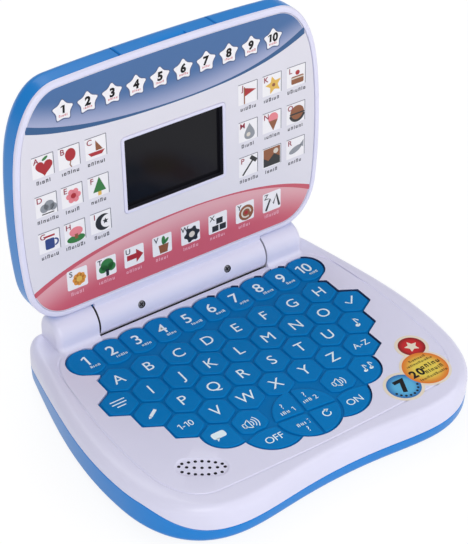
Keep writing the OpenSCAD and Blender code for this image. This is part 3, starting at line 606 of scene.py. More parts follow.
def dress(obj, material, *others):
    """Gives an object a material, and the faces that pass a test another.

    The others are (material, test) pairs. A test gets the face's middle in millimetres and its
    normal, in the frame that the object is built in."""
    obj.data.materials.clear()
    obj.data.materials.append(material)
    for slot, (other, test) in enumerate(others, 1):
        obj.data.materials.append(other)
        for face in obj.data.polygons:
            if test(face.center / MM, face.normal):
                face.material_index = slot
    return obj


def plain(names, name, rgb, **values):
    """Finish of the CAD nodes that no piece stands in for."""
    material = finish(name, rgb, **values)
    for node_name in names.split():
        dress(frame["nodes"][node_name], material)


dress(frame["nodes"]["battery_cover"], blue_plastic)
plain("display_window", "window_dark", (20, 20, 25), rough=0.12, grain=0.0, drift=0.02,
      specular=0.16)
plain("lcd_panel", "lcd_grey", (70, 76, 70), rough=0.3)
plain("key_board display_board", "board_green", (26, 92, 46), rough=0.4, grain=0.2)
plain("key_board_screws speaker_screws battery_cover_screw battery_plates battery_springs "
      "housing_screws hinge_pin_left hinge_pin_right display_board_screws lid_screws",
      "steel", (186, 186, 192), rough=0.3, metallic=1.0, grain=0.15, grain_scale=1500)
plain("speaker_frame", "speaker_steel", (158, 160, 168), rough=0.4, metallic=0.7)
plain("speaker_cone", "cone_paper", (40, 38, 38), rough=0.85, grain=0.5)
plain("speaker_magnet", "magnet_grey", (88, 88, 96), rough=0.6, grain=0.3)
plain("battery_cells", "cell_gold", (198, 158, 56), rough=0.3, metallic=0.4)
plain("rubber_feet", "rubber_dark", (32, 32, 34), rough=0.75, grain=0.4)
plain("contact_mat", "mat_grey", (140, 143, 148), rough=0.7, grain=0.3)
plain("hinge_bush_left hinge_bush_right lcd_holder", "bush_white", (228, 228, 224), rough=0.5)
plain("contact_strips", "strip_pink", (230, 153, 166), rough=0.7)


def base_piece(obj, material, slot=None, *nodes, others=()):
    dress(obj, material, *others)
    if nodes:
        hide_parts(*nodes)
    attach(obj, "base")


LID_PLACE = Matrix.Translation((0, HINGE_Y * MM, HINGE_Z * MM))
LID_TURN = LID_PLACE @ turn_about("X", 90 - LID_LEAN)


def lid_piece(obj, material, slot=None, *nodes, others=()):
    dress(obj, material, *others)
    obj.data.transform(LID_TURN)
    if nodes:
        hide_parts(*nodes)
    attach(obj, "lid")


# ---- Base, upper shell ----


def around_base(line, z):
    """Ring of the base's loops from an outline, at one height or at a height for each point."""
    return polar(ring(line, z), FIELD_MID, AROUND)


def seam_rings(*steps):
    """Rings that follow the seam, from (how far inside the wall, how far above the seam)."""
    return [around_base(inset(WALL_LINE, distance), SEAM_Z + height) for distance, height in steps]


def shoulder_rings(outer, top, height, angles):
    """Rings up a rounded shoulder, between the wall at 0 degrees and the top at 90."""
    rings = []
    for a in angles:
        across = math.cos(math.radians(a)) ** 0.9 if a < 90 else 0.0
        z = DECK_Z - SHOULDER_H + height * math.sin(math.radians(a)) ** 0.9
        rings.append(around_base(mix(top, outer, across), z))
    return rings


def groove_rings(width=1.6, depth=0.55, steps=8):
    """The groove that frames the deck, fading out where it meets the hinge blocks."""
    rings = []
    for u in np.linspace(0, 1, steps + 1):
        line = inset(DECK_LINE, width * u)
        shallow = 1 - smoothstep((line[:, 1] - DECK_BACK + 8) / 6)
        rings.append(around_base(line, DECK_Z - depth * shallow * math.sin(math.pi * u) ** 0.8))
    return rings


def cover_loft():
    inner_wall = inset(WALL_LINE, WALL)
    inner_top = inset(SHOULDER_LINE, 0.6)
    rings = seam_rings((WALL, SEAM_GAP), (0.25, SEAM_GAP), (0, SEAM_GAP + 0.3))
    rings += shoulder_rings(WALL_LINE, SHOULDER_LINE, SHOULDER_H, np.linspace(0, 90, 19))
    rings += groove_rings()
    edge = ((0.3, DECK_Z), (0.1, DECK_Z - 0.1), (0, DECK_Z - 0.3), (0, CEILING_Z))
    rings += [ring(field_outline(KEY_GAP + grow), z) for grow, z in edge]
    rings += shoulder_rings(inner_wall, inner_top, SHOULDER_H - WALL, [90, 60, 30, 0])
    return loft("top_cover", rings, closed=True)


def hinge_block(name):
    """Barrel end on a foot with a hollow fillet in front, rounded towards its outer end."""
    round_r, fillet, foot = 4.0, 3.2, -HINGE_RISE - 1.0
    sections = [(BLOCK_START, 0.5), (BLOCK_START + 0.15, 0.15), (BLOCK_START + 0.5, 0)]
    sections += [(BLOCK_END - out, d) for d, out in quarter(round_r, 0, 90, 10)]
    rings = []
    for x, d in sections:
        r = BARREL_R - d
        hollow = [(-r - out, up - HINGE_RISE) for out, up in quarter(fillet, 0, 90, 9)]
        profile = [(r, foot), *on_circle(0, 0, r, 0, 180, 49), *hollow, (-r - fillet, foot)]
        rings.append(np.array([(x, HINGE_Y + y, HINGE_Z + z) for y, z in profile]))
    return loft(name, rings)


def barrel_tube(name, half, radius):
    """Cylinder on the hinge's axis."""
    tube = turned(name, [(-half, radius), (half, radius)], "X", BARREL_SIDES)
    return moved(tube, y=HINGE_Y, z=HINGE_Z)


def trough():
    """Half-tube under the barrel."""
    tube = barrel_tube("trough", BLOCK_START + WALL, TROUGH_R + WALL)
    return cut(tube, "INTERSECT", box("keep", (-HALF_W, FRONT_Y, 0),
                                      (HALF_W, BACK_Y - WALL + 0.5, DECK_Z - 0.4)))


SPEAKER = (-(DECK_HALF - 29), DECK_FRONT + 21.7)
SPEAKER_TURN = turn_about("Z", -34)
DISH_HALF, DISH_R, DISH_DEPTH = 14.0, 6.6, 0.8
# How far outside its outline the dish is at each height above the deck
DISH_EDGE = [(-1.4, -DISH_DEPTH), (-0.9, -DISH_DEPTH + 0.08), (-0.45, -0.45), (-0.1, -0.14),
             (0.35, 0), (0.35, 2)]
# Holes in each row, their step, the height of the middle one and how much the row bows
GRILLE_ROWS = [(7, 3.45, 4.8, -0.017), (7, 3.95, 0.0, 0.006), (7, 3.4, -4.9, 0.018)]
GRILLE_HOLE_R = 0.85


def dish_outline(grow):
    right = on_circle(DISH_HALF - DISH_R, 0, DISH_R + grow, -90, 90, 24)
    return np.array(right + [(-px, -py) for px, py in right])


def grille_places():
    """Middles of the grille's holes, in the loudspeaker's own frame."""
    places = []
    for count, step, y, bow in GRILLE_ROWS:
        across = (np.arange(count) - (count - 1) / 2) * step
        places += [(x, y + bow * x * x) for x in across]
    return places


def grille_cutters():
    """The oval dish with a soft edge, and the holes."""
    dish = loft("dish", [ring(dish_outline(grow), z) for grow, z in DISH_EDGE])
    low, high = -WALL - 1, -DISH_DEPTH
    r = GRILLE_HOLE_R
    profile = [(low, r), (high - 0.15, r), (high + 0.1, r + 0.12)]
    holes = [moved(turned("hole", profile, sides=24), x, y) for x, y in grille_places()]
    return [moved(obj, *SPEAKER, DECK_Z, SPEAKER_TURN) for obj in (dish, joined("holes", holes))]


def in_shade(at, normal):
    """Walls of the grille's holes, and the room round the barrel, where shade is painted."""
    own = SPEAKER_TURN.inverted() @ (at - Vector((*SPEAKER, 0)))
    if math.hypot(own.x, own.y) < DISH_HALF + 1:
        nearest = np.hypot(*(np.array(grille_places()) - (own.x, own.y)).T).min()
        return nearest < GRILLE_HOLE_R + 0.08 and abs(normal.z) < 0.5
    off_axis = math.hypot(at.y - HINGE_Y, at.z - HINGE_Z)
    return abs(at.x) < BLOCK_START - 0.02 and off_axis < ROOM_R + 0.05


def beside_sheet(at, normal):
    """Right-hand walls of the cut-out for the key sheet, where navy shade is painted in the gap."""
    inside = CEILING_Z - 0.1 < at.z < DECK_Z - 0.08 and 0 < at.x < DECK_HALF
    return inside and normal.x < -0.35 and abs(normal.z) < 0.6


def top_cover():
    block = hinge_block("block")
    cover = cut(cover_loft(), "UNION", trough(), mirrored(block, "block_left"), block)
    room = barrel_tube("room", BLOCK_START, ROOM_R)
    cover = cut(cover, "DIFFERENCE", room, *grille_cutters())
    # Painted shade goes on the grille's holes, the room round the barrel and the gap walls beside
    # the key sheet
    base_piece(weighted(cover), white_plastic, "white_shell", "base_top_cover",
               others=((painted_shade, in_shade), (painted_gap_shade, beside_sheet)))


top_cover()

# ---- Base, lower shell ----

BOSS_AT = [(HALF_W - 20, BACK_Y - 44), (HALF_W - 10.5, FRONT_Y + 65.3), (46, FRONT_Y + 12.5)]
BOSS_R, BOSS_HOLE_R = 4.2, 3.1
FOOT_AT = [(HALF_W - 24, FRONT_Y + 22), (HALF_W - 22, BACK_Y - 20)]
FOOT_R = 6.0
LIP = WALL + 1
COVER_LO, COVER_HI = node_box("battery_cover")
# How far in from the wall the rounded lower edge is at each height
UNDER_EDGE = [(3.8, 0), (2.6, 0.25), (1.7, 0.8), (1.05, 1.6), (0.6, 2.6), (0.25, 3.8)]


def pegs(places, radius, low, high):
    """Cylinders at places on both sides of the middle."""
    profile = [(low, radius), (high, radius)]
    both = [(s * x, y) for x, y in places for s in (-1, 1)]
    return joined("pegs", [moved(turned("peg", profile), x, y) for x, y in both])


def bottom_shell():
    floor = FOOT_H + WALL
    inner = ((WALL, floor + 2), (WALL + 2.6, floor))
    rings = [around_base(inset(WALL_LINE, d), FOOT_H + z) for d, z in UNDER_EDGE]
    rings += seam_rings((0, -1.2), (0, -0.3), (0.25, 0), (LIP, 0), (LIP, 2), (LIP + 1, 2),
                        (LIP + 1, -3.2), (WALL, -4.2))
    rings += [around_base(inset(WALL_LINE, d), z) for d, z in inner]
    shell = loft("bottom_shell", rings)
    x0, front, _ = COVER_LO
    x1, back, _ = COVER_HI
    plate = box("bay", (x0 - 0.3, front + 6.3, -1), (x1 + 0.3, back - 0.2, 8))
    ear = box("ear", (-5.3, front - 0.3, -1), (5.3, front + 9, FOOT_H + 2.1))
    pad = box("pad", (-6, front - 1, FOOT_H + 0.2), (6, front + 9, FOOT_H + 9))
    shell = cut(shell, "UNION", pegs(BOSS_AT, BOSS_R, FOOT_H + 0.2, 9), pad)
    shell = cut(shell, "DIFFERENCE", plate, ear, pegs(BOSS_AT, BOSS_HOLE_R, -1, FOOT_H + 4),
                pegs(FOOT_AT, FOOT_R + 0.05, -1, FOOT_H + 0.8))
    base_piece(weighted(shell), blue_plastic, "blue_shell", "base_bottom_shell")


bottom_shell()

# ---- Key sheet ----

# How far inside a key's edge each step is, and its height: steep side, rounded edge, shallow crease
PILLOW = [(0.0, -0.3), (0.0, 0.35), (0.1, 0.6), (0.32, 0.81), (0.7, 0.9), (1.35, 0.9), (1.75, 0.8),
          (2.2, 0.78)]


def pillow(field, centre, count=96):
    """Raised key with a slightly lower face."""
    rings = [ring(traced(field, centre, -d, count, KEY_REACH), SHEET_TOP + z) for d, z in PILLOW]
    return loft("key", rings)


def disc_pillow(key):
    """Number key, between its neighbours and the first letter row."""
    sides = [half_plane(key_at(key), (-s, 0), -(DISC_STEP * PITCH / 2 - HALF_GROOVE))
             for s in (-1, 1) if abs(key[0] + s * DISC_STEP) < 5 * DISC_STEP]
    field = overlap(disc(key, DISC_R, -HALF_GROOVE), off_hexagons(key), *sides)
    return pillow(field, key_at((key[0], key[1] + 0.1)))


def front_pillows(side, power, top, off_quiz):
    """The rounded key and the power key on one side of the round key."""
    inner = hexagon((side * 1.5, -4 * ROW_STEP), -HALF_GROOVE, HEX_ROUND)
    off_top = outside(disc(top, POWER_TOP_R, HALF_GROOVE))
    in_top = disc(top, POWER_TOP_R, -HALF_GROOVE)
    return [pillow(overlap(inner, off_top, off_quiz), key_at((side * 1.5, -3.35))),
            pillow(overlap(disc(power, POWER_R, -HALF_GROOVE), in_top, off_quiz),
                   key_at((side * 1.35, -4.4)))]


def quiz_pillow(quarter_turn):
    """A quarter of the round key."""
    turn = math.radians(QUIZ_TURN + 90 * quarter_turn)
    ax = np.array([math.cos(turn), math.sin(turn)])
    ay = np.array([-math.sin(turn), math.cos(turn)])
    middle = key_at(QUIZ_MID)
    field = overlap(disc(QUIZ_MID, QUIZ_R, -HALF_GROOVE), half_plane(middle, ax, HALF_GROOVE),
                    half_plane(middle, ay, HALF_GROOVE))
    return pillow(field, middle + (ax + ay) * 0.4 * PITCH)


def key_pillows():
    off_quiz = outside(disc(QUIZ_MID, QUIZ_R, HALF_GROOVE))
    off_sheet = outside(oblong(*FRONT_SHEET, HALF_GROOVE))
    keys = [pillow(hexagon(k, -HALF_GROOVE, HEX_ROUND), key_at(k), 72) for k in HEX_KEYS[:-2]]
    keys += [disc_pillow(k) for k in DISC_KEYS]
    keys += [pillow(overlap(disc(k, END_R, -HALF_GROOVE), off_hexagons(k), off_sheet),
                    key_at((math.copysign(2.45, k[0]), -3.45))) for k in END_KEYS]
    for side, power, top in zip((-1, 1), POWER_KEYS, POWER_TOPS):
        keys += front_pillows(side, power, top, off_quiz)
    keys += [quiz_pillow(k) for k in range(4)]
    return joined("keys", keys)


def key_sheet():
    field, flange = field_outline(0), field_outline(KEY_GAP + KEY_FLANGE)
    sheet = loft("key_moulding", [
        ring(flange, CEILING_Z - 1), ring(flange, CEILING_Z - 0.02), ring(field, CEILING_Z - 0.02),
        ring(field, SHEET_TOP - 0.25), ring(field_outline(-0.08), SHEET_TOP - 0.08),
        ring(field_outline(-0.28), SHEET_TOP)])
    sheet = cut(sheet, "UNION", key_pillows())
    base_piece(weighted(sheet), key_plastic, "key_rubber", "key_sheet")


key_sheet()

# ---- Lid shells ----


def around_lid(line, w):
    return ring(polar(line, WINDOW_V, LID_AROUND), w)


def lid_rings(*steps):
    """Rings inside the lid's outline, from (how far inside it, w)."""
    return [around_lid(inset(LID_LINE, distance), w) for distance, w in steps]


def rounded(x, y, half_w, half_h, r, count):
    """Points of a rectangle by its middle, anticlockwise, with rounded corners."""
    points = []
    for k, (sx, sy) in enumerate([(1, -1), (1, 1), (-1, 1), (-1, -1)]):
        mid = x + sx * (half_w - r), y + sy * (half_h - r)
        points += on_circle(*mid, r, 90 * k - 90, 90 * k, count)
    return points


WINDOW_CORNER, LEAST_CORNER = 0.6, 0.3
WINDOW_STEP = 0.4


def window_rings(*steps):
    """Rings round the window, from (how far outside it, w)."""
    rings = []
    for grow, w in steps:
        corner = max(WINDOW_CORNER + grow, LEAST_CORNER)
        points = rounded(0, WINDOW_V, WINDOW_W / 2 + grow, WINDOW_H / 2 + grow, corner, 9)
        dense = []
        for p, q in zip(points, points[1:] + points[:1]):
            count = max(1, int(math.dist(p, q) / WINDOW_STEP))
            dense += [mix(np.array(p), np.array(q), i / count) for i in range(count)]
        rings.append(around_lid(np.array(dense), w))
    return rings


def half_barrel(name, front):
    """Front or back half of the lid's barrel with the neck that joins it to the lid."""
    split = LID_SEAM if front else LID_SEAM - SEAM_GAP
    bevel = ((0, 0.6), (0.18, 0.18), (0.6, 0))
    ends = [(-BARREL_HALF + along, BARREL_R - down) for along, down in bevel]
    barrel = turned(name, ends + [(-x, r) for x, r in reversed(ends)], "X", BARREL_SIDES)
    low, high = (split, RIM_FACE - 0.4) if front else (-BARREL_R + 2.6, split)
    neck = box("neck", (-BARREL_HALF + 0.3, BARREL_R - 4, low),
               (BARREL_HALF - 0.3, LID_BOTTOM + 1.4, high))
    barrel = cut(barrel, "UNION", neck)
    far = BARREL_HALF + 42
    low, high = (-far, split) if front else (split, far)
    return cut(barrel, "DIFFERENCE", box("half", (-far, -far, low), (far, far, high)))


SCREW_X = 29.5
SCREW_TURN = turn_about("X", -18)
SCREW_SEAT = BARREL_R - WALL + 0.7
BORE_R = 2.3
SLOT_HALF, SLOT_HALF_W = 1.4, 0.42
# Radius of the screw's head at each height above its seat
SCREW_HEAD = [(0, 2.2), (0.35, 2.2), (0.75, 2.0), (1.0, 1.5), (1.12, 0.7)]


def from_screw(at):
    """Place in the frame of the nearer of the barrel's screws."""
    return SCREW_TURN.inverted() @ (at - Vector((math.copysign(SCREW_X, at.x), 0, 0)))


def at_screws(make):
    """What make builds about the Z axis, on the axis of each of the barrel's screws."""
    return [moved(make(), x=x, turn=SCREW_TURN) for x in (-SCREW_X, SCREW_X)]


def beside_window(at, normal):
    """Walls of the window's opening, where dark grey shade is painted."""
    inside = abs(at.x) < WINDOW_W / 2 + 0.05 and abs(at.y - WINDOW_V) < WINDOW_H / 2 + 0.05
    return inside and abs(normal.z) < 0.3


def in_dark(at, normal):
    """Walls of the counterbores, and the barrel's ends, where shade is painted."""
    own = from_screw(at)
    if math.hypot(own.x, own.y) < BORE_R + 0.2 and own.z > BARREL_R - WALL:
        return True
    on_end = abs(at.x) > BARREL_HALF - 0.25 and abs(normal.x) > 0.6
    return on_end and math.hypot(at.y, at.z) < BARREL_R + 0.1


def in_slot(at, normal):
    """Walls and floor of the cross recesses, where shade is painted."""
    own = from_screw(at)
    if math.hypot(own.x, own.y) < SLOT_HALF + 0.05 and own.z > SCREW_SEAT + 0.32:
        facing = SCREW_TURN.inverted() @ normal
        return abs(facing.z) < 0.3 or own.z < SCREW_SEAT + 0.38
    return False


def counterbore():
    return turned("hole", [(0, 1.5), (SCREW_SEAT, 1.5), (SCREW_SEAT, BORE_R),
                           (BARREL_R - 0.25, BORE_R), (BARREL_R + 1, 2.7)])


def pan_head():
    """Head with a cross recess, on a plain shank."""
    profile = [(SCREW_SEAT - 6, 0.88), (SCREW_SEAT, 0.88)]
    profile += [(SCREW_SEAT + up, r) for up, r in SCREW_HEAD]
    head = turned("head", profile)
    low, high = SCREW_SEAT + 0.35, SCREW_SEAT + 2
    slots = [moved(box("slot", (-x, -y, low), (x, y, high)), turn=turn_about("Z", 25))
             for x, y in ((SLOT_HALF, SLOT_HALF_W), (SLOT_HALF_W, SLOT_HALF))]
    return cut(head, "DIFFERENCE", *slots)


def lid_frame():
    bezel = RIM_FACE - 0.1
    rings = window_rings((0, FRAME_BACK), (0, bezel - 0.45), (0.14, bezel - 0.12), (0.5, bezel),
                         (BEZEL_W - 0.6, bezel), (BEZEL_W - 0.16, bezel - 0.14),
                         (BEZEL_W, bezel - 0.5), (BEZEL_W, RECESS_FACE))
    rings += lid_rings((RIM_W, RECESS_FACE), (RIM_W, RIM_FACE - 0.5),
                       (RIM_W - 0.14, RIM_FACE - 0.14), (RIM_W - 0.5, RIM_FACE), (2.6, RIM_FACE))
    rings += lid_rings(*[(d, RIM_FACE - down) for d, down in quarter(RIM_ROUND, 90, 0, 9)])
    rings += lid_rings((0.15, LID_SEAM), (WALL + 0.3, LID_SEAM), (WALL + 0.3, FRAME_BACK))
    face = loft("lid_frame", rings, closed=True)
    face = cut(face, "UNION", half_barrel("barrel", True))
    face = cut(face, "DIFFERENCE", *at_screws(counterbore))
    # Painted shade goes on the window's walls, the counterbores and the barrel's ends
    lid_piece(weighted(face), white_plastic, "white_shell", "lid_front_frame",
              others=((painted_window_shade, beside_window), (painted_shade, in_dark)))


def back_rings(top_distance, top_w):
    """Rings up the rounded back of the lid, to a chamfer at the top."""
    rings = lid_rings(*[(d, LID_BACK + up) for d, up in quarter(BACK_ROUND, 90, 0, 13)])
    return rings + lid_rings((0, top_w - 0.25), (top_distance, top_w))


def grip_box(name, ends, inner, low, high):
    """Box at the grip: how far it goes past the grip's ends and in from the lid's top edge."""
    half = GRIP_HALF + ends
    return box(name, (-half, LID_TOP - inner, low), (half, LID_TOP + 20, high))


def grip_notches():
    """Cutters for the notches at the two ends of the grip."""
    at = GRIP_HALF + GRIP_GAP / 2
    top = LID_LINE[np.abs(LID_LINE[:, 0] - at) < 2][:, 1].max()
    low, high = (-0.6, -0.6, LID_BACK - 1), (0.6, 0.6, LID_SEAM)
    return [moved(box("notch", low, high), side * at, top, turn=turn_about("Z", 45))
            for side in (-1, 1)]


LID_BOSS_AT = [(LID_HALF - 20, LID_BOTTOM + 22), (LID_HALF - 16, LID_TOP - 30)]
PIN_R, PIN_LENGTH = 1.6, 15


def lid_shell():
    inner_r = BACK_ROUND - WALL
    top_w = LID_SEAM - SEAM_GAP
    rings = back_rings(0.25, top_w) + lid_rings((WALL, top_w))
    rings += lid_rings(*[(WALL + d, LID_BACK + WALL + up) for d, up in quarter(inner_r, 0, 90, 4)])
    shell = loft("lid_shell", rings)
    seat = grip_box("seat", GRIP_GAP, GRIP_DEEP, LID_BACK + GRIP_LIP, LID_SEAM + 3)
    shell = cut(shell, "DIFFERENCE", seat)
    half = GRIP_HALF + GRIP_GAP + WALL
    grip_back = LID_TOP - GRIP_DEEP
    wall = box("wall", (-half, grip_back - WALL, LID_BACK + 1), (half, grip_back, FRAME_BACK - 0.1))
    bosses = pegs(LID_BOSS_AT, 3.4, LID_BACK + 1, LID_BACK + WALL + 4)
    shell = cut(shell, "UNION", wall, half_barrel("barrel", False), bosses)
    heads = pegs(LID_BOSS_AT, 3.1, LID_BACK - 1, LID_BACK + 2.4)
    pin = turned("pin", [(BARREL_HALF - PIN_LENGTH, PIN_R), (BARREL_HALF + 1, PIN_R)], "X")
    shell = cut(shell, "DIFFERENCE", heads, pin, mirrored(pin, "pin_left"), *grip_notches())
    lid_piece(weighted(shell), blue_plastic, "blue_shell", "lid_back_shell")


def lift_grip():
    whole = loft("lift_grip_piece", back_rings(0.4, LID_SEAM - SEAM_GAP))
    low = LID_BACK + GRIP_LIP
    inner = grip_box("inner", 0, GRIP_DEEP, low, FRAME_BACK - 0.1)
    outer = grip_box("outer", 0, WALL, low, LID_SEAM)
    grip = cut(whole, "INTERSECT", cut(inner, "UNION", outer))
    scoop = box("scoop", (-11, -1.45, -3.8), (11, 4, 1))
    scoop = moved(scoop, 0, LID_TOP, LID_SEAM, turn_about("X", 21))
    grip = cut(grip, "DIFFERENCE", scoop, *grip_notches())
    lid_piece(grip, blue_plastic, "blue_shell", "lift_grip")


def faceplate():
    rings = window_rings((BEZEL_W + 0.2, RECESS_FACE), (BEZEL_W + 0.2, PLATE_FACE))
    rings += lid_rings((RIM_W + 0.3, PLATE_FACE), (RIM_W + 0.3, RECESS_FACE))
    lid_piece(loft("faceplate", rings, closed=True), plate_film, "faceplate_film", "lid_faceplate")


def cross_screws():
    heads = shade(joined("cross_screws", at_screws(pan_head)))
    # Painted shade in the cross recesses
    lid_piece(heads, screw_grey, "dark_steel", "barrel_screws", others=((painted_shade, in_slot),))


lid_frame()
lid_shell()
lift_grip()
faceplate()
cross_screws()

# ---- Flat print: outlines, strokes and letters ----


def placed(shape, x=0.0, y=0.0, size=1.0, turn=0.0):
    """Outline scaled, turned in degrees and moved."""
    c, s = math.cos(math.radians(turn)), math.sin(math.radians(turn))
    return np.asarray(shape) * size @ np.array([[c, s], [-s, c]]) + (x, y)


def circle(x, y, rx, ry=None, count=32):
    ry = ry or rx
    angles = np.linspace(0, 2 * math.pi, count + 1)[:-1]
    return np.array([(x + rx * math.cos(a), y + ry * math.sin(a)) for a in angles])


def polygon(*points):
    return np.array(points, float)


def rectangle(x, y, w, h, round_r=0.0):
    """Rectangle by its middle, with rounded corners if asked."""
    if round_r:
        return np.array(rounded(x, y, w / 2, h / 2, round_r, 6))
    return polygon(*[(x + sx * w / 2, y + sy * h / 2)
                     for sx, sy in ((-1, -1), (1, -1), (1, 1), (-1, 1))])


def stroke(points, width):
    """Outline of a line of even width with round ends."""
    points = np.asarray(points, float)
    steps = np.gradient(points, axis=0)
    steps /= np.linalg.norm(steps, axis=1)[:, None]
    side = np.column_stack([-steps[:, 1], steps[:, 0]]) * width / 2
    start, end = [math.degrees(math.atan2(step[1], step[0])) for step in (-steps[0], steps[-1])]
    caps = [on_circle(*p, width / 2, a - 75, a + 75, 5)
            for p, a in ((points[-1], end), (points[0], start))]
    return np.concatenate([points - side, caps[0], (points + side)[::-1], caps[1]])


def arc(x, y, r, start, end, width, count=20):
    return stroke(on_circle(x, y, r, start, end, count), width)


def softened(corners, share):
    """Closed outline whose corners are rounded over a share of each side."""
    points = []
    for k, corner in enumerate(corners):
        a = mix(corner, corners[k - 1], share)
        b = mix(corner, corners[(k + 1) % len(corners)], share)
        points += [a * (1 - t) ** 2 + corner * 2 * t * (1 - t) + b * t * t
                   for t in (0, 0.25, 0.5, 0.75, 1)]
    return np.array(points)


def star(x, y, tip, valley, turn=0, soft=0.2):
    """Five-pointed star with softened tips."""
    corners = []
    for k in range(10):
        a = math.radians(90 + turn + 36 * k)
        r = valley if k % 2 else tip
        corners.append(np.array([x + r * math.cos(a), y + r * math.sin(a)]))
    return softened(corners, soft)


def film(name, shapes, low, high):
    """Thin printed layer from closed outlines, between two heights."""
    points, faces = [], []
    for shape in shapes:
        first = len(points)
        count = len(shape)
        upper = first + count
        points += [(p[0], p[1], z) for z in (low, high) for p in shape]
        faces.append(tuple(range(upper - 1, first - 1, -1)))
        faces.append(tuple(range(upper, upper + count)))
        faces += [(first + i, first + (i + 1) % count, upper + (i + 1) % count, upper + i)
                  for i in range(count)]
    return make_mesh(name, points, faces, 20)


def font_mesh(letter, bold, slant):
    """Flat mesh of one letter at the font's own size."""
    curve = bpy.data.curves.new("glyph", "FONT")
    curve.body = letter
    curve.offset = bold
    curve.shear = slant
    curve.resolution_u = 4
    curve.fill_mode = "FRONT"
    carrier = add("glyph", curve)
    mesh = applied(carrier)
    removed([carrier])
    return mesh


CAP_HEIGHT = max(v.co.y for v in font_mesh("H", 0.0, 0.0).vertices)
LETTER_GAP = 0.09


def figure_one(bold, slant):
    """A figure 1 with a flag, in place of the font's bare stroke."""
    half, h = 0.045 + bold, CAP_HEIGHT
    corners = [(-half, 0), (half, 0), (half, h), (-half, h), (-half - 0.17, h - 0.1),
               (-half - 0.17, h - 0.2), (-half, h - 0.11)]
    mesh = bpy.data.meshes.new("glyph")
    mesh.from_pydata([(x + slant * y, y, 0) for x, y in corners], [], [tuple(range(len(corners)))])
    return mesh


def absorb(whole, mesh):
    """Adds a mesh to a bmesh and removes the mesh."""
    whole.from_mesh(mesh)
    bpy.data.meshes.remove(mesh)


def word_mesh(text, bold, slant):
    """Letters side by side, their cap height 1, centred on the origin."""
    whole = bmesh.new()
    at = 0
    for letter in text:
        mesh = figure_one(bold, slant) if letter == "1" else font_mesh(letter, bold, slant)
        across = [v.co.x for v in mesh.vertices]
        mesh.transform(Matrix.Translation((at - min(across), 0, 0)))
        at += max(across) - min(across) + LETTER_GAP
        absorb(whole, mesh)
    middle = Matrix.Translation((-(at - LETTER_GAP) / 2, -CAP_HEIGHT / 2, 0))
    whole.transform(Matrix.Scale(1 / CAP_HEIGHT, 4) @ middle)
    return baked("word", whole)


def letters(name, marks, z, bold=0.0, slant=0.0):
    """One flat object from (text, x, y, cap height) marks, each centred on its place."""
    whole = bmesh.new()
    for text, x, y, height in marks:
        word = word_mesh(text, bold, slant)
        place = Matrix.Translation((x * MM, y * MM, z * MM))
        word.transform(place @ Matrix.Scale(height * MM, 4))
        absorb(whole, word)
    return add(name, baked(name, whole))


def small_print(x, y, width, height, seed):
    """A row of plain posts, single or joined in pairs at the head or foot, for a printed word."""
    line, reach, gap = height * 0.2, height * 0.5, height * 0.34
    shapes = []
    at = x - width / 2
    k = seed
    while at < x + width / 2 - reach / 2:
        tall = height * (1, 0.72, 0.72, 0.86)[k % 4]
        middle = y - (height - tall) / 2
        shapes.append(rectangle(at + line / 2, middle, line, tall))
        if k % 3 != 1:
            shapes.append(rectangle(at + reach, middle, line, tall))
            for end in ((1,), (-1,), (-1, 1))[k % 5 % 3]:
                bar_y = middle + end * (tall - line) / 2
                shapes.append(rectangle(at + (reach + line / 2) / 2, bar_y, reach, line))
            at += reach - line / 2
        at += line + gap
        k += 1
    return shapes


def small_words(places, widths, height):
    """Small print at each place, its seed the place's number, with the widths in turn."""
    return [shape for i, (x, y) in enumerate(places)
            for shape in small_print(x, y, widths[i % len(widths)], height, i)]


# ---- Legends on the keys ----

KEY_FACE = SHEET_TOP + 0.8
LEGEND_Z = KEY_FACE + 0.03
NUMBER_Z = LEGEND_Z + 0.12
CAP, NUMBER_CAP = 7.0, 7.6
LETTER_ROWS = [("ABCDEFGH", -3.5, 0), ("IJKLMNO", -3, -1), ("PQRSTU", -2.5, -2), ("VWXYZ", -2, -3)]
# Text, place in pitches and cap height
KEY_WORDS = [("1-10", (-3, -3 * ROW_STEP), 4.2), ("A-Z", (3, -3 * ROW_STEP), 4.2),
             ("OFF", (-1.34, -4.36), 4.6), ("ON", (1.36, -4.38), 4.6)]
# Place from the round key's middle in pitches, number, and which side the mark stands
QUIZ_MARKS = [((-0.44, 0.4), "1", 1), ((0.36, 0.46), "2", 1), ((-0.36, -0.44), "3", -1)]


def quiz_at(place):
    return key_at(QUIZ_MID) + np.array(place) * PITCH


def key_marks():
    marks = [(letter, *key_at((x0 + i, row * ROW_STEP)), CAP)
             for text, x0, row in LETTER_ROWS for i, letter in enumerate(text)]
    marks += [(text, *key_at(place), height) for text, place, height in KEY_WORDS]
    for place, number, side in QUIZ_MARKS:
        x, y = quiz_at(place)
        marks += [("?", x, y + side * 2.6, 3.8), (number, x + 4.1, y - side * 2.2, 3.2)]
    return marks


def note(x, y, size=1.0):
    """Musical note: head, stem and flag."""
    stem = stroke([(0.4, -2.2), (0.4, 2.8)], 0.6)
    flag = stroke([(0.4, 2.8), (1.6, 1.9), (2.2, 0.6)], 0.7)
    head = placed(circle(-0.9, -2.4, 1.5, 1.1), x, y, size, 15)
    return [head, placed(stem, x, y, size), placed(flag, x, y, size)]


def loudspeaker(x, y, arcs):
    """Line drawing of a loudspeaker with sound arcs, for the volume keys."""
    corners = [(x + dx, y + dy) for dx, dy in ((-4.4, 1.5), (-4.4, -1.5), (-2.6, -1.5), (0, -3.5),
                                               (0, 3.5), (-2.6, 1.5), (-4.4, 1.5))]
    lines = [stroke([p, q], 0.55) for p, q in zip(corners, corners[1:])]
    lines.append(stroke([corners[2], corners[5]], 0.5))
    return lines + [arc(x - 0.9, y, 2.6 + 1.6 * k, -40, 40, 0.55, 8) for k in range(arcs)]


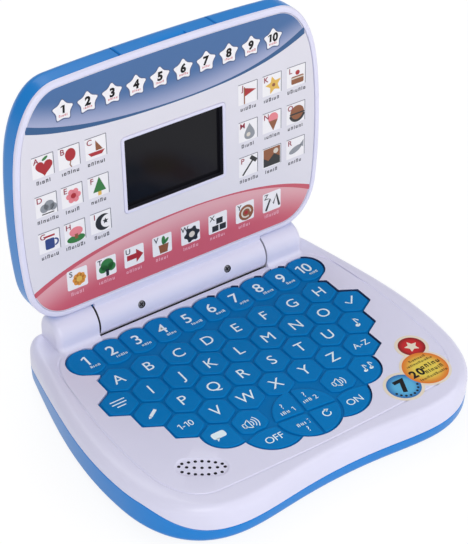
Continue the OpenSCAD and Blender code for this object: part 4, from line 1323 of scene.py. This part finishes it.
def key_icons():
    def at(x, row):
        return key_at((x, row * ROW_STEP))

    x, y = at(-4, -1)
    shapes = [stroke([(x - w, y + dy), (x + w * 0.9, y + dy)], 0.75)
              for w, dy in ((4.4, 2.4), (4.4, 0), (2.6, -2.4))]
    x, y = at(4, -1)
    shapes.append(stroke([(x - 3.2, y + 0.2), (x - 0.9, y - 2.3), (x + 3.4, y + 2.9)], 0.95))
    pencil = rectangle(0.7, 0, 6.2, 1.9, 0.3), polygon((-2.8, -0.95), (-2.8, 0.95), (-4.5, 0))
    shapes += [placed(shape, *at(-3.5, -2), 1, 35) for shape in pencil]
    shapes += note(*at(3.5, -2), 1.1)
    x, y = at(-2.5, -4)
    tail = polygon((x - 2.6, y - 1.2), (x - 0.4, y - 1.2), (x - 2.9, y - 3.6))
    shapes += [rectangle(x, y + 0.8, 8.4, 4.8, 1.6), tail]
    x, y = at(2.5, -4)
    shapes += note(x - 1.5, y, 0.9) + note(x + 2.6, y + 0.3, 0.9)
    for side, arcs in ((-1, 3), (1, 2)):
        x, y = at(side * 1.52, -4)
        shapes += loudspeaker(x - 0.6, y - 1.6, arcs)
    for place, _, side in QUIZ_MARKS:
        x, y = quiz_at(place)
        shapes += small_print(x - 0.7, y - side * 2.2, 6.4, 2.5, round(4 * place[0] + 9))
    x, y = quiz_at((0.42, -0.36))
    arrow = polygon((x + 0.2, y + 3.4), (x + 2.6, y + 2.2), (x + 0.5, y + 0.7))
    return shapes + [arc(x, y, 2.2, 60, 350, 0.7), arrow]


def legends():
    base_piece(letters("key_letters", key_marks(), LEGEND_Z), white_print)
    places = [key_at(k) for k in DISC_KEYS]
    numbers = [(str(i + 1), x - 0.6, y + 0.5, NUMBER_CAP) for i, (x, y) in enumerate(places)]
    base_piece(letters("key_numbers", numbers, NUMBER_Z, bold=0.008), white_print)
    words = small_words([place + (2.4, -5.4) for place in places], [6.4], 1.9)
    base_piece(film("key_number_words", words, KEY_FACE, NUMBER_Z), white_print)
    base_piece(film("key_icons", key_icons(), KEY_FACE, LEGEND_Z), white_print)


legends()

# ---- Sticker on the deck ----

# Middle and radius of the three round fields
FIELDS = [(HALF_W - 29.7, FRONT_Y + 45.8, 9.7), (HALF_W - 35.3, FRONT_Y + 27.5, 14.5),
          (HALF_W - 54.9, FRONT_Y + 22.3, 11.5)]
# Name, field, border's width, colours at middle and edge, where they start to blend, height
FIELD_PRINTS = [("red", 0, 1.9, (196, 34, 40), (110, 18, 26), 0.45, 0.01),
                ("blue", 2, 1.8, (92, 178, 222), (32, 104, 176), 0.4, 0.02),
                ("yellow", 1, 1.5, (228, 204, 84), (222, 120, 44), 0.4, 0.03)]
STICKER_TOP = DECK_Z + 0.12
cream_print = finish("cream_print", (230, 218, 200), rough=0.35, grain=0.02, specular=0.3)


def sticker():
    discs = [film("field", [circle(x, y, r, count=72)], DECK_Z, STICKER_TOP - 0.001 * i)
             for i, (x, y, r) in enumerate(FIELDS)]
    border = shade(joined("badge", discs), 20)
    base_piece(border, cream_print, "sticker_film", "badge_sticker")
    for name, which, border_w, middle, edge, start, lift in FIELD_PRINTS:
        x, y, r = FIELDS[which]
        print_ink = finish(f"{name}_print", middle, rough=0.35, grain=0.02, specular=0.25,
                           second=edge, blend=disc_fade(x, y, r * start, r * 0.92))
        shape = circle(x, y, r - border_w, count=64)
        layer = film(f"{name}_field", [shape], STICKER_TOP - 0.02, STICKER_TOP + lift)
        base_piece(layer, print_ink)
    x, y, _ = FIELDS[1]
    rows = [(1.0, 8.6, 11, 1.6), (0.6, 5.6, 18, 1.6), (3.8, 1.4, 12, 3.2), (3.8, -3.0, 12, 2.6),
            (0.2, -6.8, 18, 1.7)]
    bars = [shape for i, (dx, dy, w, h) in enumerate(rows)
            for shape in small_print(x + dx, y + dy, w, h, i)]
    count = letters("sticker_count", [("20", x - 6.6, y - 0.8, 5.4)], STICKER_TOP + 0.05, bold=0.04)
    base_piece(count, black_print)
    x, y, _ = FIELDS[2]
    dots = [circle(*place, 0.75, count=12) for place in on_circle(x, y, 7.7, 200, 340, 8)]
    base_piece(film("sticker_marks", bars + dots, STICKER_TOP, STICKER_TOP + 0.06), black_print)
    number = letters("sticker_number", [("7", x, y + 0.8, 9.0)], STICKER_TOP + 0.04, bold=0.05)
    base_piece(number, black_print)
    x, y, _ = FIELDS[0]
    badge_star = film("sticker_star", [star(x, y, 4.6, 2.2)], STICKER_TOP, STICKER_TOP + 0.03)
    base_piece(badge_star, cream_print)


sticker()

# ---- Print on the faceplate ----

FILM_W = 0.02
PLATE_LINE = inset(LID_LINE, RIM_W + 0.6)
# Curved edges of the coloured zones and widths of the bands along them, fitted through places
WIDTH_XS = (-90, -40, 10, 50, 90)
TOP_EDGE = np.polyfit((-89.6, -74.7, -33.9, 16.5, 60.6, 89.2),
                      (131.8, 128.1, 121.6, 121.4, 125.7, 136.1), 4)
TOP_WIDTH = np.polyfit(WIDTH_XS, (4.6, 2.0, 1.0, 1.8, 4.6), 3)
LOW_EDGE = np.polyfit((-90.2, -62.1, -26.5, 15.1, 61.3, 92.3),
                      (35.4, 45.5, 49.9, 51.4, 45.2, 35.2), 4)
LOW_WIDTH = np.polyfit(WIDTH_XS, (3.4, 2.0, 0.8, 1.4, 3.2), 3)


def plate_zone(edge, above):
    """The part of the faceplate beyond a curved edge, above or below it."""
    gap = PLATE_LINE[:, 1] - np.polyval(edge, PLATE_LINE[:, 0])
    inside = gap > 0 if above else gap < 0
    first = next(i for i in range(len(inside)) if inside[i] and not inside[i - 1])
    run = np.roll(PLATE_LINE, -first, axis=0)[: inside.sum()]
    x = np.linspace(run[-1][0], run[0][0], 80)
    return np.concatenate([run, np.column_stack([x, np.polyval(edge, x)])])


def plate_side(side, y):
    """Where the left or right side of the faceplate is at a height."""
    x, v = side * PLATE_LINE[:, 0], PLATE_LINE[:, 1]
    along = PLATE_LINE[(x > 60) & (v > 20) & (v < 148)]
    along = along[np.argsort(along[:, 1])]
    return np.interp(y, along[:, 1], along[:, 0])


def swoosh(edge, width, side):
    """Band along a zone's edge, of uneven width, between the sides of the faceplate."""
    left, right = [plate_side(s, np.polyval(edge, s * 90)) for s in (-1, 1)]
    x = np.linspace(left + 0.1, right - 0.1, 80)
    line = np.polyval(edge, x)
    other = line + side * np.polyval(width, x)
    return np.concatenate([np.column_stack([x, line]), np.column_stack([x, other])[::-1]])


def printed(name, shapes, material, level):
    """Layer of print on the faceplate; higher levels lie on top."""
    lid_piece(film(name, shapes, PLATE_FACE - 0.01, PLATE_FACE + FILM_W * level), material)


def lettered(name, marks, material, level, bold, slant=0.0):
    lid_piece(letters(name, marks, PLATE_FACE + FILM_W * level, bold, slant), material)


pale_print = ink("pale_print", (238, 236, 240))
grey_print = ink("grey_print", (120, 122, 134))
word_print = ink("word_print", (44, 46, 60))
wine_print = ink("wine_print", (150, 30, 62))

BOX = 12.84
BOX_COLUMNS = [-4.13, -3.33, -2.5, 2.5, 3.34, 4.2]
BOX_ROWS = [110.6, 86.8, 63.9]
LOW_COLUMNS = [-3.37, -2.43, -1.5, -0.55, 0.43, 1.39, 2.36, 3.34]
LOW_ROW = 33.6
UPPER_AT = [(x * PITCH, v) for columns in (BOX_COLUMNS[:3], BOX_COLUMNS[3:])
            for v in BOX_ROWS for x in columns]
UPPER = dict(zip("ABCDEFGHIJKLMNOPQR", UPPER_AT))
LOWER = dict(zip("STUVWXYZ", [(x * PITCH, LOW_ROW) for x in LOW_COLUMNS]))
DARK_BOX = "Q"
BOX_LETTER, BOX_LETTER_CAP = (-3.9, 3.9), 3.3
STAR_V = 138.65
STAR_STEP = 14.76
STARS = [((i - 4.5) * STAR_STEP - 0.35, STAR_V) for i in range(10)]

PICTURE_MID = np.array((1.4, -1.6))
PICTURE_COLOURS = {
    "red": (168, 36, 44), "green": (52, 120, 60), "brown": (140, 84, 52), "pink": (226, 130, 140),
    "yellow": (222, 180, 84), "grey": (140, 144, 152), "black": (34, 36, 40),
    "blue": (52, 70, 130), "orange": (224, 150, 60), "pale": (214, 206, 196)}


def heart(x, y, size):
    t = np.linspace(0, 2 * math.pi, 29)[:-1]
    across = 16 * np.sin(t) ** 3
    up = 13 * np.cos(t) - 5 * np.cos(2 * t) - 2 * np.cos(3 * t) - np.cos(4 * t)
    return placed(np.column_stack([across, up])[::-1], x, y, size / 16)


def teardrop(x, y, size):
    t = np.linspace(0, 2 * math.pi, 29)[:-1]
    points = np.column_stack([np.sin(t) * np.sin(t / 2) ** 1.5, np.cos(t)])
    return placed(points[::-1], x, y, size)


def leaf(x, y, size, turn):
    t = np.linspace(0, math.pi, 12)
    side = np.column_stack([np.cos(t), 0.42 * np.sin(t)])
    return placed(np.concatenate([side, -side[1:-1]]), x, y, size, turn)


def petals(x, y, size, count):
    middles = on_circle(x, y, size, 0, 360 - 360 / count, count)
    return [circle(*middle, size * 0.62, count=16) for middle in middles]


def crescent(x, y, r):
    inner = on_circle(0.45 * r, 0, 0.78 * r, 285, 75, 16)
    return placed(on_circle(0, 0, r, 50, 310, 20) + inner, x, y)


def gear(x, y, r):
    a = np.radians(np.arange(0, 360, 15))
    radius = np.where(np.arange(24) % 4 < 2, r, r * 0.78)
    return np.column_stack([x + radius * np.cos(a), y + radius * np.sin(a)])


# Each picture, in millimetres from the middle of its box: colours and the outlines in them
PICTURES = {
    "A": {"red": [heart(0.8, -1.0, 4.2)], "green": [leaf(1.4, 3.2, 1.6, 30)]},
    "B": {"red": [circle(0.9, 0.6, 2.6, 3.1)],
          "brown": [stroke([(0.9, -2.6), (0.4, -4.2), (1.1, -5.4)], 0.5)]},
    "C": {"red": [polygon((-3.8, -2.4), (-2.4, -4.2), (3.0, -4.2), (4.6, -2.4))],
          "brown": [polygon((0.1, -1.9), (0.1, 3.2), (3.6, -1.9))]},
    "D": {"grey": [circle(-0.8, -1.8, 2.1), circle(1.6, -0.9, 2.6), circle(3.6, -2.1, 1.8)],
          "black": [stroke([(-2, -4.6), (3.6, -4.6)], 0.5)]},
    "E": {"pink": petals(0.9, -0.6, 2.3, 6), "red": [circle(0.9, -0.6, 1.3)]},
    "F": {"green": [polygon((-2.6, -3.2), (4.0, -3.2), (0.7, 4.2))],
          "yellow": [rectangle(0.7, -4.2, 1.7, 2)]},
    "G": {"blue": [rectangle(0.4, -1.6, 4.6, 5.4, 0.8), arc(2.9, -1.4, 1.6, -80, 80, 0.8)],
          "red": [rectangle(0.4, 2.4, 5.2, 0.9)]},
    "H": {"green": [leaf(0.6, -4.0, 4.6, 0)], "pink": [circle(0.8, -0.4, 3.4, 2.4)],
          "brown": [rectangle(0.8, -2.8, 1.6, 2.4)]},
    "I": {"black": [crescent(1.6, -0.8, 4.2), star(2.6, -0.6, 1.6, 0.7)]},
    "J": {"red": [polygon((-1.4, 2.6), (4.8, 0.6), (-1.4, -1.6))],
          "brown": [stroke([(-1.7, 3), (-1.7, -5.2)], 0.6)]},
    "K": {"yellow": [star(1.2, -0.8, 4.8, 2.2, 12)], "brown": [circle(1.2, -0.8, 0.9)]},
    "L": {"brown": [rectangle(1.0, -2.4, 7.0, 4.0, 0.6)], "red": [circle(1.0, 1.2, 1.2)],
          "pale": [stroke([(-2.2, -1.4), (4.2, -1.4)], 0.7)]},
    "M": {"grey": [teardrop(1.0, -0.8, 4.2)], "pale": [circle(0.4, -2.4, 1.1)]},
    "N": {"pink": [circle(1, 1.4, 2.8)], "brown": [polygon((-1.6, 0.2), (3.6, 0.2), (1, -5.2))]},
    "O": {"brown": [circle(1.0, -0.6, 4.0)],
          "black": [arc(1.0, -0.6, 4.0, 200, 340, 1.3), stroke([(-2.9, -0.8), (4.9, -0.8)], 0.8)]},
    "P": {"black": [stroke([(-2.8, -4.6), (3.0, 2.2)], 0.9),
                    placed(rectangle(0, 0, 4.4, 2.0, 0.3), 3.2, 2.4, 1, -41)]},
    "Q": {"brown": [rectangle(0, 0, 11.6, 11.6, 0.4)],
          "black": [polygon((-5.8, -5.8), (5.8, -5.8), (5.8, -1.4), (1.6, 1.6), (-2.4, -2.2),
                            (-5.8, 0.2))],
          "pale": [circle(2.8, 3.0, 1.7)]},
    "R": {"grey": [leaf(0.2, -1.4, 3.8, 20), polygon((2.6, 0.2), (5.0, 2.6), (4.8, -1.2))]},
    "S": {"orange": petals(1.2, -0.9, 2.2, 8), "yellow": [circle(1.2, -0.9, 1.5)]},
    "T": {"green": [circle(0.8, 0.6, 3.4), circle(-1.4, -1.0, 2.2), circle(3.0, -1.0, 2.2)],
          "black": [rectangle(0.8, -3.6, 1.5, 3.6)]},
    "U": {"red": [polygon((-3.6, 0.8), (1.4, 0.8), (1.4, 3.0), (5.2, -0.6), (1.4, -4.2),
                          (1.4, -2.0), (-3.6, -2.0))]},
    "V": {"brown": [polygon((-1.8, -0.4), (3.8, -0.4), (3.0, -5.0), (-1.0, -5.0))],
          "green": [leaf(1.0, 1.8, 2.4, 90), leaf(2.6, 1.2, 1.8, 50)]},
    "W": {"black": [gear(1.0, -1.0, 4.4)], "pale": [circle(1.0, -1.0, 1.6)]},
    "X": {"black": [rectangle(x, y, 3.6, 3.2) for x, y in ((-1.2, -3.2), (3.0, -3.2), (1.2, 0.6))]},
    "Y": {"brown": [circle(1.0, -1.0, 4.2)], "pale": [arc(1.0, -1.0, 2.5, 0, 300, 0.8)],
          "red": [circle(1.0, -1.0, 1.0)]},
    "Z": {"black": [stroke([(-3, -4.4), (-0.6, 1.2), (1.2, -2), (3, 2.8), (4.6, -3.6)], 1.2)]}}


def boxes():
    """The lettered picture boxes: paper, lines, pictures, letters and small print."""
    upper, lower = UPPER.values(), LOWER.values()
    printed("picture_boxes", [rectangle(*place, BOX, BOX) for place in upper], pale_print, 1)
    printed("lower_boxes", [rectangle(*place, BOX, BOX, 1.0) for place in lower], pale_print, 3)
    half, thin = BOX / 2, 0.45
    lines = [rectangle(x, v + half, BOX, thin) for x, v in upper]
    lines += [rectangle(x + half, v, thin, BOX) for x, v in upper]
    printed("box_lines", lines, grey_print, 2)
    places = UPPER | LOWER
    painted = {}
    for letter, picture in PICTURES.items():
        grow = 1.0 if letter == DARK_BOX else 1.22
        for level, (colour, shapes) in enumerate(picture.items()):
            painted.setdefault((colour, level), []).extend(
                (shape - PICTURE_MID) * grow + PICTURE_MID + places[letter] for shape in shapes)
    for (colour, level), shapes in painted.items():
        paint = ink(f"picture_{colour}_{level}", PICTURE_COLOURS[colour])
        printed(f"pictures_{colour}_{level}", shapes, paint, 4 + level)
    dx, dy = BOX_LETTER
    for name, group, paint in (("box_letters", UPPER, wine_print),
                               ("lower_box_letters", LOWER, word_print)):
        marks = [(letter, x + dx, v + dy, BOX_LETTER_CAP)
                 for letter, (x, v) in group.items() if letter != DARK_BOX]
        lettered(name, marks, paint, 8, 0.01)
    below = half + 2.8
    printed("words", small_words([(x, v - below) for x, v in upper], (9, 10, 11, 12), 2.3),
            word_print, 2)
    printed("lower_words", small_words([(x, v - below) for x, v in lower], (9, 10, 11), 2.2),
            ink("light_word_print", (232, 176, 192)), 3)


def stars():
    """The row of numbered stars above the boxes."""
    shadow = [star(x, v - 0.1, 7.5, 4.9, soft=0.34) for x, v in STARS]
    printed("star_outlines", shadow, ink("star_outline_print", (74, 92, 132)), 3)
    printed("stars", [star(x, v, 6.8, 4.2, soft=0.34) for x, v in STARS], pale_print, 4)
    marks = [(str(i + 1), x, v + 0.7, 4.6) for i, (x, v) in enumerate(STARS)]
    lettered("star_numbers", marks, black_print, 6, 0.05, slant=0.06)
    words = small_words([(x, v - 2.8) for x, v in STARS], [5.2], 1.4)
    printed("star_words", words, ink("star_word_print", (206, 92, 104)), 5)


blue_fade = ramp_over(HINGE_Z + 119, HINGE_Z + 137, 0.0018)
pink_fade = ramp_over(HINGE_Z + 27, HINGE_Z + 52, -0.0018)
printed("blue_zone", [plate_zone(TOP_EDGE, True)],
        zone_ink("blue_zone", (166, 172, 204), second=(72, 108, 158), blend=blue_fade), 1)
printed("pink_zone", [plate_zone(LOW_EDGE, False)],
        zone_ink("pink_zone", (202, 94, 112), second=(222, 170, 178), blend=pink_fade), 1)
printed("blue_swoosh", [swoosh(TOP_EDGE, TOP_WIDTH, 1)],
        zone_ink("deep_blue_print", (54, 92, 138)), 2)
printed("rose_swoosh", [swoosh(LOW_EDGE, LOW_WIDTH, -1)],
        zone_ink("rose_print", (198, 92, 108)), 2)
stars()
boxes()

# ---- Floor, light and camera ----

WHITE_GLOW = 1.07


def seen_by(tree, *rays):
    """1 where either of two kinds of ray looks, else 0."""
    path = node(tree, "ShaderNodeLightPath")
    first, other = [path.outputs[f"Is {ray} Ray"] for ray in rays]
    return node(tree, "ShaderNodeMath", operation="MAXIMUM", in_0=first, in_1=other).outputs[0]


def stage(half=3.0):
    """White floor, which glows to the camera and in reflections."""
    mesh = bpy.data.meshes.new("floor")
    corners = [(-half, -half, 0), (half, -half, 0), (half, half, 0), (-half, half, 0)]
    mesh.from_pydata(corners, [], [(0, 1, 2, 3)])
    floor = add("floor", mesh)
    made = bpy.data.materials.new("floor_white")
    made.use_nodes = True
    tree = made.node_tree
    paint = feed(tree, tree.nodes["Principled BSDF"], Base_Color=(0.9, 0.9, 0.9, 1), Roughness=0.9)
    glow = node(tree, "ShaderNodeEmission", Strength=WHITE_GLOW)
    share = node(tree, "ShaderNodeMath", operation="MULTIPLY", in_1=0.8,
                 in_0=seen_by(tree, "Camera", "Glossy"))
    both = node(tree, "ShaderNodeMixShader", Fac=share.outputs[0], in_1=paint.outputs["BSDF"],
                in_2=glow.outputs["Emission"])
    feed(tree, tree.nodes["Material Output"], Surface=both.outputs["Shader"])
    dress(floor, made)


def world_light(strength=0.42):
    """Even light from all round, behind a white background."""
    world = bpy.data.worlds.new("studio")
    bpy.context.scene.world = world
    world.use_nodes = True
    tree = world.node_tree
    soft = feed(tree, tree.nodes["Background"], in_0=(1, 1, 1, 1), in_1=strength)
    white = node(tree, "ShaderNodeBackground", in_1=WHITE_GLOW)
    both = node(tree, "ShaderNodeMixShader", Fac=seen_by(tree, "Camera", "Transmission"),
                in_1=soft.outputs["Background"], in_2=white.outputs["Background"])
    feed(tree, tree.nodes["World Output"], Surface=both.outputs["Shader"])


def softbox(name, place, target, size, power):
    data = bpy.data.lights.new(name, "AREA")
    data.shape = "SQUARE"
    data.size = size
    data.energy = power
    lamp = add(name, data)
    lamp.location = place
    lamp.rotation_mode = "QUATERNION"
    lamp.rotation_quaternion = (Vector(target) - Vector(place)).to_track_quat("-Z", "Y")


AZIMUTH, ELEVATION, ROLL = -35.95, 37.29, 1.09
DISTANCE = 942.4
FOCAL_PX = 1678.9
IMAGE_W, IMAGE_H = 468, 544
TARGET = (0, KEY_Y0 + 0.25, DECK_Z)
TARGET_PX = (221.68, 333.32)


def camera():
    """Camera at the studio view: the target point shows at its pixel, at that distance."""
    a, e, roll = [math.radians(v) for v in (AZIMUTH, ELEVATION, ROLL)]
    back = Vector((math.sin(a) * math.cos(e), -math.cos(a) * math.cos(e), math.sin(e)))
    level = Vector((math.cos(a), math.sin(a), 0))
    upright = back.cross(level)
    right = level * math.cos(roll) + upright * math.sin(roll)
    up = upright * math.cos(roll) - level * math.sin(roll)
    aside = (TARGET_PX[0] - IMAGE_W / 2) * DISTANCE / FOCAL_PX
    above = -(TARGET_PX[1] - IMAGE_H / 2) * DISTANCE / FOCAL_PX
    place = Vector(TARGET) + back * DISTANCE - right * aside - up * above
    data = bpy.data.cameras.new("camera")
    data.sensor_width = 36
    data.lens = FOCAL_PX * data.sensor_width / max(IMAGE_W, IMAGE_H)
    data.clip_start, data.clip_end = 0.05, 20
    view = add("camera", data)
    turn = Matrix((right, up, back)).transposed().to_4x4()
    view.matrix_world = Matrix.Translation(place * MM) @ turn
    bpy.context.scene.camera = view


stage()
world_light()
softbox("key_light", (-0.8, -1.3, 0.9), (0, 0, 0.08), 1.0, 13.4)
softbox("fill_light", (1.1, -0.9, 0.7), (0, 0, 0.08), 1.2, 7.2)
softbox("back_light", (0.1, 0.9, 1.2), (0, 0, 0.1), 0.8, 6)
camera()
bpy.context.scene.view_settings.view_transform = "Standard"
